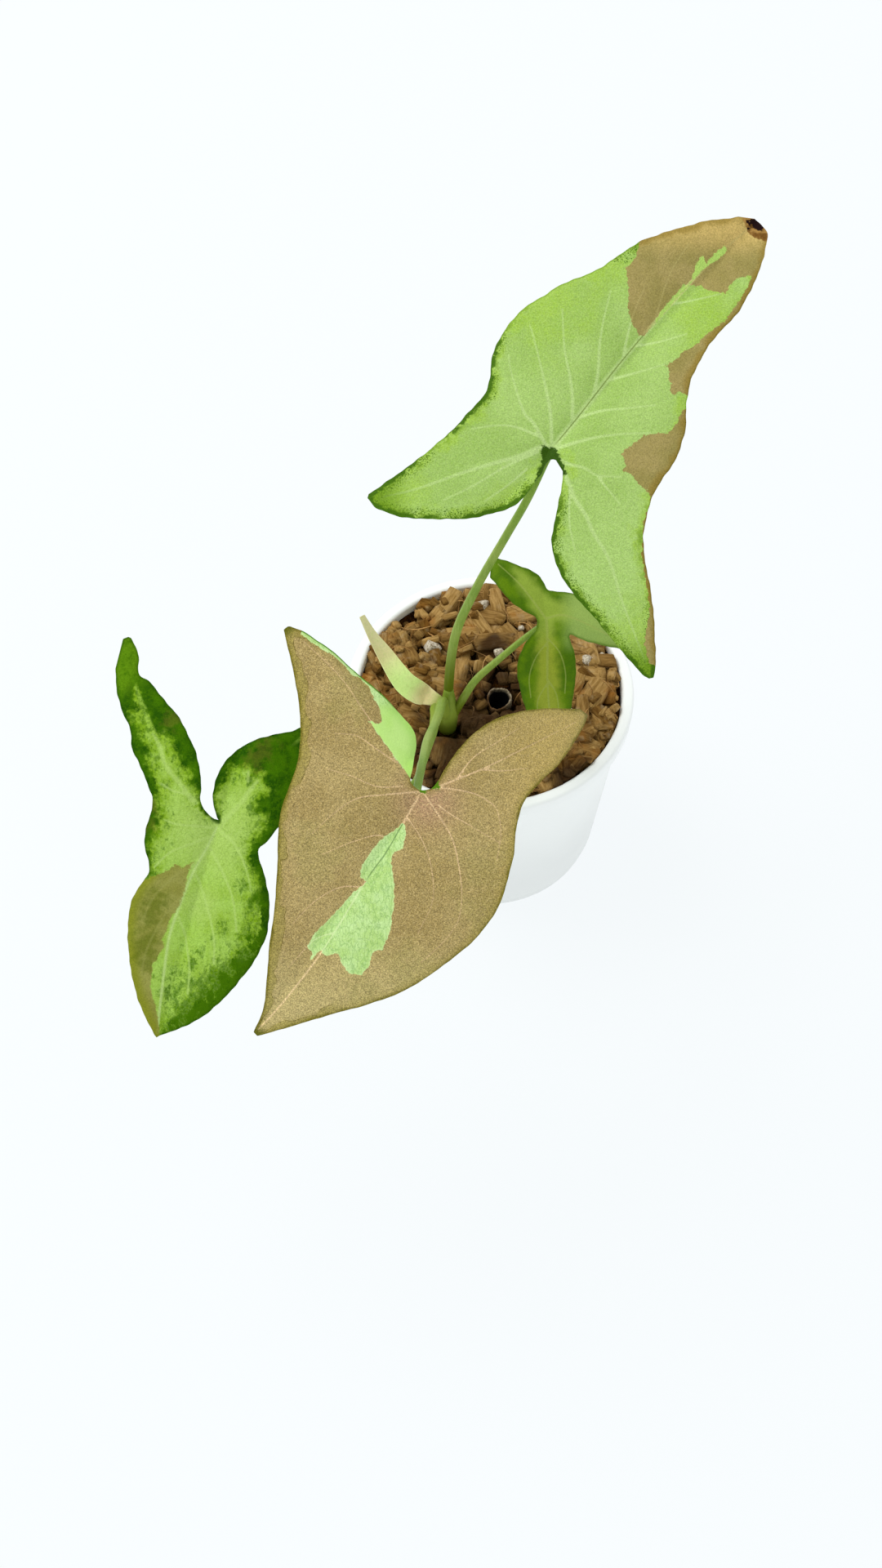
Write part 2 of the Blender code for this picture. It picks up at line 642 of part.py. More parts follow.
def main():
    for old in list(bpy.data.objects):
        bpy.data.objects.remove(old, do_unlink=True)
    white_plastic = material("white plastic", (0.86, 0.86, 0.85), 0.35)
    mix_brown = material("coarse brown mix", (0.12, 0.06, 0.03), 0.95)
    stem_green = material("stem green", (0.16, 0.30, 0.05), 0.45)
    blade_finishes = {
        "leaf_tall": material("light green blade", (0.40, 0.62, 0.18), 0.45),
        "leaf_front": material("tan blade", (0.36, 0.24, 0.11), 0.5),
        "leaf_left": material("deep green blade", (0.16, 0.35, 0.04), 0.4),
        "leaf_back": material("green blade", (0.14, 0.34, 0.03), 0.45),
    }
    cream = material("cream young leaf", (0.62, 0.68, 0.32), 0.5)
    make_pot(white_plastic)
    make_mix(mix_brown)
    make_crown(stem_green)
    for name, leaf, joins_at, turn, between, foot_radius, top_radius in STALKS:
        make_stalk(name, leaf, joins_at, turn, between, foot_radius, top_radius, stem_green)
    for leaf in LEAVES:
        make_blade(leaf, blade_finishes[leaf.name])
    make_young_leaf(cream)


main()
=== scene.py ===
"""Arrowhead plant in a round white pot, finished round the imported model.

Sizes are in millimetres and are turned into metres where a mesh is made. The origin is the centre
of the pot's foot, +Z is up and -Y is the front. A blade is drawn in its own plane, with s to the
right and t upwards from the point where its stalk joins.
"""
import math
import random

import bpy
import numpy as np
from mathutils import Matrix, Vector
from mathutils.geometry import delaunay_2d_cdt


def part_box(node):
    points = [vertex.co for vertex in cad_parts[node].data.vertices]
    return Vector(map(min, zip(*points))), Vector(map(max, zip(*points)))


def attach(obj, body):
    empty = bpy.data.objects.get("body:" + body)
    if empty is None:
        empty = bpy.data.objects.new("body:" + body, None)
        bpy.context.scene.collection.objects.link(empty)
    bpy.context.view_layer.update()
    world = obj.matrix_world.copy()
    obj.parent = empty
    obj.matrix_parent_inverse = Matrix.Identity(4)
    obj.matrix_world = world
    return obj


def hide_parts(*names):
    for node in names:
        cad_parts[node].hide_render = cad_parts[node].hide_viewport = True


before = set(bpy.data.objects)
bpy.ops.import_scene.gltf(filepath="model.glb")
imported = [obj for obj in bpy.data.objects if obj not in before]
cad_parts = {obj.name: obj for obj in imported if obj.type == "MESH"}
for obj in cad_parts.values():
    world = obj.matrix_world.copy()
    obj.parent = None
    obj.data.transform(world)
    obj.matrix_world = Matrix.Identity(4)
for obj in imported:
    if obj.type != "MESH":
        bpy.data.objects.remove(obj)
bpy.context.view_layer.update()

bl_info = {
    "name": "Arrowhead plant",
    "version": (1, 0, 0),
    "blender": (4, 5, 0),
    "location": "View3D > Sidebar > Plant",
    "description": "Builds a potted arrowhead plant piece by piece round its solid model",
    "category": "Object",
}

MM = 0.001
BODY = "root"


def low_high(node):
    """Lowest and highest corner of a solid, in millimetres."""
    low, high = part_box(node)
    return np.array(low) / MM, np.array(high) / MM


_, POT_HIGH = low_high("pot")
CROWN_LOW, CROWN_HIGH = low_high("crown")

# Pot
POT_HEIGHT = POT_HIGH[2]
RIM_RADIUS = POT_HIGH[0]
RIM_DEPTH = 4.6
WALL_TOP_RADIUS = 33.0
WALL_FOOT_RADIUS = 28.2
FOOT_RADIUS = 27.5
FOOT_STEP = 3.6
WALL = 1.4
FLOOR = 1.6
DRAIN_HOLES = 6
DRAIN_RADIUS = 2.6
DRAIN_RING = 17.0
DRAIN_SIDES = 40
FLOOR_UNDER = 0.4
POT_FLOOR_SIDES = 120
POT_SHARP = math.radians(35.0)
# Painted shade on the pot's wall: from this height down to that one, and how dark it gets.
POT_SHADE_FROM = 48.0
POT_SHADE_TO = 8.0
POT_SHADE_SHARE = 0.87

# Potting mix
MIX_LEVEL = 55.4
MIX_MOUND = 1.8
CHIP_COUNT = 120
CHIP_SEED = 11
CHIP_LENGTH = (6.0, 12.0)
CHIP_WIDTH = (3.5, 6.5)
CHIP_RISE = (0.4, 3.4)
CHIP_SLOPE = 0.22
PIT_PLACE = (2.0, -3.4)
PIT_CLEAR = 3.0
PIT_DEPTH = 4.5
PIT_REACH = 3.6
BED_DROP = 2.2
BED_CRUMB = 0.35
BED_SIDES = 96
BED_ROWS = 34
CHIP_THICK = (3.0, 5.0)
SMALL_CHIP_SIZE = ((2.0, 5.6), (1.4, 3.2), (1.0, 2.4))
SMALL_CHIP_RISE = (-1.8, 2.9)
SMALL_CHIP_SLOPE = 0.9
FIBRE_LENGTH = (4.0, 13.0)
FIBRE_RADIUS = (0.07, 0.16)
FIBRE_CURL = 0.16
FIBRE_LIFT = 2.2
FIBRE_PARTS = 8
GRAIN_SIZE = (0.8, 1.8)
GRAIN_RISE = (1.8, 3.2)
GRAIN_SLOPE = 0.8
# Painted shade: places (x, y, reach) where the mix is painted darker, round the crown and the pit and under
# the leaves.
MIX_SHADE_PLACES = ((-2.0, -11.0, 14.0), (-12.0, -7.5, 7.0), (1.0, -1.0, 10.0), (7.0, -12.0, 9.0),
               (-8.0, -20.0, 14.0), (2.0, 12.0, 5.5), (20.0, -26.0, 8.0))
CHIP_SHADE_LEVEL = 55.0

# Crown and stalks
CROWN_PLACE = (CROWN_LOW[:2] + CROWN_HIGH[:2]) / 2.0
CROWN_TOP = CROWN_HIGH[2]
CROWN_RADIUS = (CROWN_HIGH[0] - CROWN_LOW[0]) / 2.0
STALK_RING = 2.1
STALK_LEAD = 2.5
STALK_FOOT_SHARE = 0.75
STALK_SUNK_SHARE = 0.35
STALK_SUNK = 5.0
STALK_SWELL = 0.16
STALK_SWELL_AT = 0.975
CROWN_SIDES = 48
CROWN_ROWS = 44

# Blades
CAD_BLADE = 0.8
BLADE_SHARP = math.radians(60.0)
MAIN_VEIN = 0.3
VEIN_SPREAD = 1.3
UNDER_VEINS = 2.5
TROUGH_REACH = 1.5
RIPPLE_REACH = 2.6
THIN_EDGE = 1.2
BLADE_PITCH = math.radians(33.0)
RIGHT = np.array((1.0, 0.0, 0.0))
UP = np.array((0.0, math.cos(BLADE_PITCH), math.sin(BLADE_PITCH)))
FACE = np.cross(RIGHT, UP)

# Camera and light
CAMERA_PLACE = (-12.0, -307.9, 489.6)
CAMERA_PITCH = math.radians(33.0)
CAMERA_LENS = 50.0
KEY_PLACE = (-650.0, 300.0, 1200.0)
KEY_AIM = (0.0, -30.0, 60.0)
KEY_SIZE = 900.0
LIGHT_GAIN = 1.1
GAINS = {"tall": 1.08, "front": 1.0, "left": 1.08, "back": 1.0, "young": 0.8, "mix": 0.87, "stalk": 0.8}
GLOSS = 0.01


def linear(red, green, blue):
    """A colour as seen on a screen, 0 to 255, as linear light."""
    shares = (red / 255.0, green / 255.0, blue / 255.0)
    return tuple(v / 12.92 if v <= 0.04045 else ((v + 0.055) / 1.055) ** 2.4 for v in shares)


def smooth_step(x):
    """A smooth rise from 0 to 1, for a number or an array."""
    x = np.clip(x, 0.0, 1.0)
    return x * x * (3.0 - 2.0 * x)


# Curves and outlines

def smooth_run(points, step):
    """A smooth curve through the points, read off at even steps."""
    points = np.array(points, dtype=float)
    ends = np.vstack((2.0 * points[0] - points[1], points, 2.0 * points[-1] - points[-2]))
    fine = [points[:1]]
    for i in range(len(points) - 1):
        p0, p1, p2, p3 = ends[i:i + 4]
        pieces = max(2, math.ceil(np.linalg.norm(p2 - p1) / (step / 8.0)))
        u = (np.arange(1, pieces + 1) / pieces)[:, None]
        fine.append(0.5 * (2.0 * p1 + (p2 - p0) * u + (2.0 * p0 - 5.0 * p1 + 4.0 * p2 - p3) * u ** 2
                           + (3.0 * p1 - p0 - 3.0 * p2 + p3) * u ** 3))
    return even_steps(np.vstack(fine), step)


def run_lengths(line):
    """How far along a line each of its points lies."""
    return np.concatenate(([0.0], np.cumsum(np.linalg.norm(np.diff(line, axis=0), axis=1))))


def headings(line):
    """Which way a line runs at each of its points."""
    ahead = np.gradient(line, axis=0)
    return ahead / np.linalg.norm(ahead, axis=1)[:, None]


def carried_axes(line, side):
    """Two axes across a line at each of its points, carried along without a twist."""
    axes = []
    for way in headings(line):
        side = side - way * side.dot(way)
        side /= np.linalg.norm(side)
        axes.append((side, np.cross(way, side)))
    return axes


def round_about(centre, reach, angles, side, other):
    """Points round a centre in the plane of two axes."""
    return centre + (reach * np.cos(angles))[:, None] * side + (reach * np.sin(angles))[:, None] * other


def even_turns(count):
    """Angles spread evenly round a circle."""
    return np.linspace(0.0, math.tau, count, endpoint=False)


def ring_at(reach, level, angles, middle=(0.0, 0.0)):
    """Points round an upright axis, at one reach and level or at one for each angle."""
    x = middle[0] + reach * np.cos(angles)
    y = middle[1] + reach * np.sin(angles)
    return np.stack((x, y, np.broadcast_to(level, x.shape)), axis=1)


def even_steps(line, step):
    """A line of points read off again at even steps."""
    lengths = run_lengths(line)
    count = max(1, round(lengths[-1] / step))
    want = np.linspace(0.0, lengths[-1], count + 1)
    return np.stack([np.interp(want, lengths, line[:, k]) for k in range(line.shape[1])], axis=1)


def closed_outline(runs, step):
    """The runs joined end to end into one ring of points."""
    ring = np.vstack([smooth_run(run, step) for run in runs])
    keep = np.linalg.norm(ring - np.roll(ring, -1, axis=0), axis=1) > 0.02
    return ring[keep]


def ragged(ring, amount, seed):
    """The ring with small uneven waves along its edge."""
    sides = np.linalg.norm(np.roll(ring, -1, axis=0) - ring, axis=1)
    gone = np.concatenate(([0.0], np.cumsum(sides)[:-1])) / sides.sum()
    draw = random.Random(seed)
    wave = np.zeros(len(ring))
    for length in (2.6, 4.1, 6.7, 11.0):
        turns = round(sides.sum() / length)
        wave += np.sin(math.tau * turns * gone + draw.uniform(0.0, math.tau))
    ahead = np.roll(ring, -1, axis=0) - np.roll(ring, 1, axis=0)
    ahead /= np.linalg.norm(ahead, axis=1)[:, None]
    out = np.stack((ahead[:, 1], -ahead[:, 0]), axis=1)
    return ring + out * (amount * wave / 2.0)[:, None]


def flat_waves(s, t, seed):
    """Smooth waves over a blade, between -1 and 1."""
    draw = random.Random(seed)
    total = np.zeros(len(s))
    for _ in range(6):
        turn = draw.uniform(0.0, math.tau)
        length = draw.uniform(5.0, 11.0)
        along = s * math.cos(turn) + t * math.sin(turn)
        total += np.sin(along * math.tau / length + draw.uniform(0.0, math.tau)) / 3.0
    return total


def way_to_sides(points, starts, ends):
    """Shortest way from each point to a set of sides, and which side it is."""
    side = ends - starts
    square = np.maximum((side ** 2).sum(axis=1), 1e-12)
    best = np.empty(len(points))
    which = np.empty(len(points), dtype=int)
    for first in range(0, len(points), 2000):
        block = points[first:first + 2000, None, :] - starts[None]
        share = np.clip((block * side).sum(axis=2) / square, 0.0, 1.0)
        way = np.linalg.norm(block - side * share[:, :, None], axis=2)
        which[first:first + 2000] = way.argmin(axis=1)
        best[first:first + 2000] = way.min(axis=1)
    return best, which


def inside_ring(points, ring):
    """Which points lie inside a ring."""
    inside = np.zeros(len(points), dtype=bool)
    x, y = points[:, 0], points[:, 1]
    for (ax, ay), (bx, by) in zip(ring, np.roll(ring, -1, axis=0)):
        if ay == by:
            continue
        crosses = (ay > y) != (by > y)
        inside ^= crosses & (x < ax + (y - ay) * (bx - ax) / (by - ay))
    return inside


def depth_in_ring(points, ring):
    """How far inside a ring each point lies, negative outside."""
    way, _ = way_to_sides(points, ring, np.roll(ring, -1, axis=0))
    return np.where(inside_ring(points, ring), way, -way)


# Meshes

def rim_sides(faces):
    """Directed sides that belong to one face only."""
    sides = {(f[i], f[(i + 1) % len(f)]) for f in faces for i in range(len(f))}
    return [(a, b) for a, b in sides if (b, a) not in sides]


def slab_faces(faces, count):
    """Faces of a slab: a sheet, the sheet under it turned over, and the rim between them."""
    over = [tuple(f) for f in faces]
    under = [tuple(i + count for i in reversed(f)) for f in faces]
    return over + under + [(b, a, a + count, b + count) for a, b in rim_sides(faces)]


def ring_quads(rings, sides, first=0):
    """Faces between like rings of points that follow one another."""
    quads = []
    for a in range(first, first + (rings - 1) * sides, sides):
        b = a + sides
        for j in range(sides):
            k = (j + 1) % sides
            quads.append((a + j, a + k, b + k, b + j))
    return quads


def flipped(faces):
    """The same faces, facing the other way."""
    return [(f[0], *reversed(f[1:])) for f in faces]


def ring_faces(rings, sides):
    """Faces between like rings of points, with both ends closed."""
    ends = [tuple(range(sides - 1, -1, -1)), tuple(range((rings - 1) * sides, rings * sides))]
    return ring_quads(rings, sides) + ends


def new_object(name, data):
    """An object of the scene that holds some data."""
    made = bpy.data.objects.new(name, data)
    bpy.context.collection.objects.link(made)
    return made


def new_mesh(name, points, faces, finishes):
    """A smooth mesh object of the scene."""
    mesh = bpy.data.meshes.new(name)
    mesh.from_pydata([tuple(p) for p in np.asarray(points) * MM], [], faces)
    for finish in finishes:
        mesh.materials.append(finish)
    mesh.shade_smooth()
    mesh.update()
    return new_object(name, mesh)


def new_piece(name, points, faces, finishes):
    """A mesh object that rides on the body."""
    piece = new_mesh(name, points, faces, finishes)
    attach(piece, BODY)
    return piece


def give(piece, name, values):
    """A number for each point of a piece, for its finish to read."""
    layer = piece.data.attributes.new(name, "FLOAT", "POINT")
    layer.data.foreach_set("value", np.asarray(values, dtype=np.float32))


# Blades

class Crease:
    """A line across a blade beyond which the blade turns back."""

    def __init__(self, at, across, soft, slope=0.0, curve=0.0, fade=0.0):
        self.at = at
        self.across = np.array(across) / np.linalg.norm(across)
        self.soft = soft
        self.slope = slope
        self.curve = curve
        self.fade = fade

    def drop(self, s, t):
        """How far the blade lies behind its plane at each point."""
        ds = s - self.at[0]
        dt = t - self.at[1]
        past = ds * self.across[0] + dt * self.across[1]
        near = np.maximum(past + self.soft, 0.0) ** 2 / (4.0 * self.soft)
        past = np.where(past < self.soft, near, past)
        share = 1.0
        if self.fade:
            share = smooth_step((dt * self.across[0] - ds * self.across[1]) / self.fade)
        return share * (self.slope * past + self.curve * past * past)


class Blade:
    """One blade: its outline, bends, veins and coloured zones."""

    def __init__(self, node, joins, tip, runs, bends, veins, zones, spots, creases=(),
                 waves=(0.0, 0, 0.0), ripple=0.2, rough_edge=0.08):
        self.node = node
        self.joins = np.array(joins)
        self.tip = np.array(tip)
        self.runs = runs
        self.fold, self.fold_width, self.side_droop, self.tip_droop, self.lobe_droop = bends
        self.veins = veins
        self.zones = zones
        self.spots = spots
        self.ripple = ripple
        self.rough_edge = rough_edge
        self.creases = creases
        self.wave_height, self.wave_count, self.wave_start = waves

    def lift(self, s, t):
        """Height of the blade above its plane."""
        length = np.linalg.norm(self.tip)
        along = (s * self.tip[0] + t * self.tip[1]) / length
        side = np.abs(t * self.tip[0] - s * self.tip[1]) / length
        height = self.fold * (1.0 - np.exp(-side / self.fold_width))
        height = height - self.side_droop * (side / 25.0) ** 2
        height = height - np.where(along > 0.0, self.tip_droop, self.lobe_droop) * (along / length) ** 2
        turn = np.arctan2(t, s) * self.wave_count + self.wave_start
        reach = np.minimum(np.hypot(s, t) / length, 1.0) ** 2
        height = height + self.wave_height * np.sin(turn) * reach
        for crease in self.creases:
            height = height - crease.drop(s, t)
        return height

    def place(self, s, t, off):
        """Points of the blade in the object's frame, off along its own normal."""
        step = 0.05
        slope_s = (self.lift(s + step, t) - self.lift(s - step, t)) / (2.0 * step)
        slope_t = (self.lift(s, t + step) - self.lift(s, t - step)) / (2.0 * step)
        normal = FACE - RIGHT * slope_s[:, None] - UP * slope_t[:, None]
        normal /= np.linalg.norm(normal, axis=1)[:, None]
        plane = self.joins + RIGHT * s[:, None] + UP * t[:, None] + FACE * self.lift(s, t)[:, None]
        return plane + normal * np.asarray(off)[:, None]


TALL = Blade(
    "leaf_tall",
    joins=(9.7, -15.2, 161.0),
    tip=(41.0, 46.0),
    runs=(
        ((42.0, 48.4), (44.4, 45.5), (44.2, 42.5), (42.3, 36.5), (38.5, 29.0), (32.5, 22.0),
         (28.8, 15.5), (27.3, 9.5), (27.0, 4.0), (25.2, -1.5), (20.8, -8.5), (18.9, -15.0),
         (19.0, -21.0), (20.6, -29.5), (21.6, -41.0), (21.2, -45.0)),
        ((20.3, -45.2), (17.5, -43.0), (10.2, -34.6), (2.8, -25.8), (0.4, -18.5), (1.5, -11.5),
         (2.6, -5.5), (1.9, -2.6), (0.5, -1.8), (-0.9, -2.6), (-2.2, -5.3), (-6.4, -10.5),
         (-10.9, -12.2), (-15.3, -13.4), (-22.0, -13.6), (-28.5, -13.3), (-34.4, -11.4), (-36.4, -9.2)),
        ((-36.2, -8.4), (-31.0, -5.0), (-22.3, 1.5), (-14.4, 9.4), (-12.3, 13.0), (-10.8, 20.8),
         (-5.9, 27.7), (1.8, 32.9), (9.9, 36.6), (17.0, 41.6), (22.0, 43.9), (31.0, 46.9), (38.5, 48.4)),
    ),
    bends=(2.2, 6.0, 2.0, 7.0, 8.0),
    waves=(0.5, 5, 0.6),
    veins=(
        (0.42, ((0.0, 0.0), (5.4, 6.5), (13.7, 17.2), (22.0, 27.1), (32.0, 38.2), (41.0, 46.6))),
        (0.24, ((-0.4, 0.4), (-3.2, 5.2), (-5.3, 7.7), (-7.7, 15.4), (-8.2, 19.0))),
        (0.24, ((0.4, 0.6), (0.1, 7.0), (-1.0, 13.0), (-3.1, 22.0), (-4.0, 25.0))),
        (0.22, ((4.4, 5.4), (4.5, 10.0), (4.0, 14.5), (2.9, 20.2), (2.5, 28.2))),
        (0.22, ((8.6, 10.8), (9.6, 15.6), (9.9, 21.0), (10.8, 26.4), (12.2, 32.0))),
        (0.18, ((14.6, 18.3), (15.2, 21.6), (16.6, 27.0), (19.0, 33.0))),
        (0.16, ((21.0, 26.0), (22.3, 30.5), (24.5, 36.5), (28.0, 42.0))),
        (0.24, ((0.8, 0.3), (5.8, 1.7), (9.7, 2.6), (14.9, 3.2), (20.0, 3.4))),
        (0.20, ((5.4, 6.5), (10.4, 7.9), (14.9, 8.3), (21.0, 9.0))),
        (0.20, ((11.4, 14.2), (16.5, 15.4), (22.9, 17.3))),
        (0.18, ((17.0, 21.2), (22.0, 22.0), (27.5, 23.6))),
        (0.16, ((24.5, 29.9), (29.5, 30.8), (34.5, 32.0))),
        (0.26, ((0.5, -0.2), (2.6, -2.4), (6.8, -3.6), (9.4, -5.1), (14.2, -5.4))),
        (0.16, ((9.4, -5.1), (10.7, -6.9), (13.9, -10.7))),
        (0.30, ((0.4, -0.6), (3.0, -5.0), (4.8, -9.5), (7.1, -13.0), (8.7, -16.6), (11.4, -20.9),
                (13.1, -25.4), (14.4, -29.6), (17.2, -36.5), (19.5, -42.0))),
        (0.14, ((3.9, -7.4), (3.9, -14.7), (5.0, -20.0))),
        (0.30, ((-0.4, 0.2), (-2.0, 0.6), (-6.2, -1.2), (-11.1, -2.6), (-17.1, -4.4), (-26.6, -7.6),
                (-33.0, -9.0))),
        (0.18, ((-2.4, -0.2), (-8.7, -3.2), (-15.2, -7.0), (-21.0, -9.8))),
        (0.18, ((-1.6, 2.6), (-7.1, 4.6), (-11.1, 4.8), (-15.5, 4.2))),
        (0.14, ((-4.6, -3.6), (-8.6, -7.0), (-13.0, -10.0))),
    ),
    zones={
        "tan": (
            ((18.0, 41.6), (16.9, 38.2), (15.1, 36.5), (15.6, 34.0), (15.9, 30.8), (15.7, 28.6),
             (16.4, 25.9), (17.9, 23.4), (18.9, 23.1), (21.5, 26.8), (24.4, 30.8), (27.1, 33.9),
             (28.2, 34.0), (30.6, 33.8), (31.9, 33.0), (34.1, 32.2), (35.6, 32.2), (36.8, 34.1),
             (37.7, 35.3), (41.2, 36.2), (40.3, 34.1), (38.7, 31.2), (35.8, 26.9), (31.6, 23.3),
             (27.0, 19.9), (23.2, 17.0), (24.0, 15.8), (23.8, 14.3), (24.3, 13.2), (23.9, 11.7),
             (24.9, 10.9), (25.7, 11.9), (27.6, 11.1), (32.2, 13.5), (44.1, 32.2), (48.0, 42.6),
             (44.8, 53.0), (31.0, 52.0), (18.0, 46.8)),
            ((29.0, 9.4), (26.4, 7.8), (25.2, 5.3), (23.9, 3.6), (18.8, 3.1), (17.8, 1.8), (15.6, 0.6),
             (13.8, -0.9), (14.9, -1.8), (14.9, -3.3), (14.4, -4.4), (16.2, -4.7), (17.4, -6.8),
             (19.5, -8.1), (20.2, -9.4), (18.5, -14.6), (18.5, -21.0), (20.2, -31.3), (19.6, -34.5),
             (19.2, -38.6), (20.3, -42.2), (23.4, -43.0), (22.9, -20.0), (30.5, 2.0)),
        ),
        "green": (
            ((28.6, 34.8), (29.1, 36.5), (29.9, 38.8), (31.1, 40.1), (31.8, 38.5), (32.7, 39.8),
             (34.4, 41.5), (35.9, 42.7), (36.1, 41.4), (34.4, 39.7), (30.8, 36.9), (28.2, 34.0),
             (24.4, 29.6), (21.5, 25.9), (21.0, 26.6), (24.4, 30.8)),
        ),
        "dead": (
            ((38.9, 49.5), (39.7, 47.3), (40.2, 45.7), (42.3, 43.9), (46.0, 42.6), (47.0, 45.2),
             (43.0, 50.5)),
        ),
        "joint": (
            ((-2.0, 1.3), (-1.1, 1.0), (0.2, 0.7), (1.3, 0.4), (1.7, -0.6), (2.3, -2.0), (3.3, -4.6),
             (2.2, -5.4), (0.0, -4.0), (-2.4, -5.6), (-3.0, -6.4), (-2.5, -4.4), (-1.7, -2.6),
             (-1.5, -0.6)),
        ),
    },
    spots={
        "speck": (
            (-34.0, -10.5, 16.0), (-22.0, -14.0, 9.0), (-12.0, -12.5, 7.0), (-6.0, -9.0, 5.0),
            (-27.0, -3.0, 6.0), (-12.6, 12.0, 5.0), (-10.5, 21.5, 3.0), (1.5, -16.0, 9.0),
            (6.0, -28.0, 9.0), (14.0, -38.0, 12.0), (21.0, -42.0, 10.0), (15.0, 40.0, 4.0),
        ),
        "vivid": (
            (-30.0, -9.0, 8.0), (0.0, 30.0, 14.0), (12.0, 37.0, 9.0), (32.0, 28.0, 14.0),
            (19.0, -41.0, 16.0), (-8.0, -12.0, 8.0),
        ),
        "deep": ((-36.0, -9.6, 10.0), (21.0, -45.0, 11.0), (18.0, 43.0, 4.0)),
        "rim": ((-12.0, 11.0, 14.0), (-32.0, -10.0, 12.0), (4.0, -24.0, 16.0), (-12.0, -13.0, 12.0),
                (20.0, -44.0, 8.0)),
        "charred": ((41.5, 47.9, 0.9), (42.3, 47.1, 1.3), (43.1, 46.3, 0.9), (40.3, 47.5, 0.5),
                    (40.7, 46.1, 0.5)),
    },
)

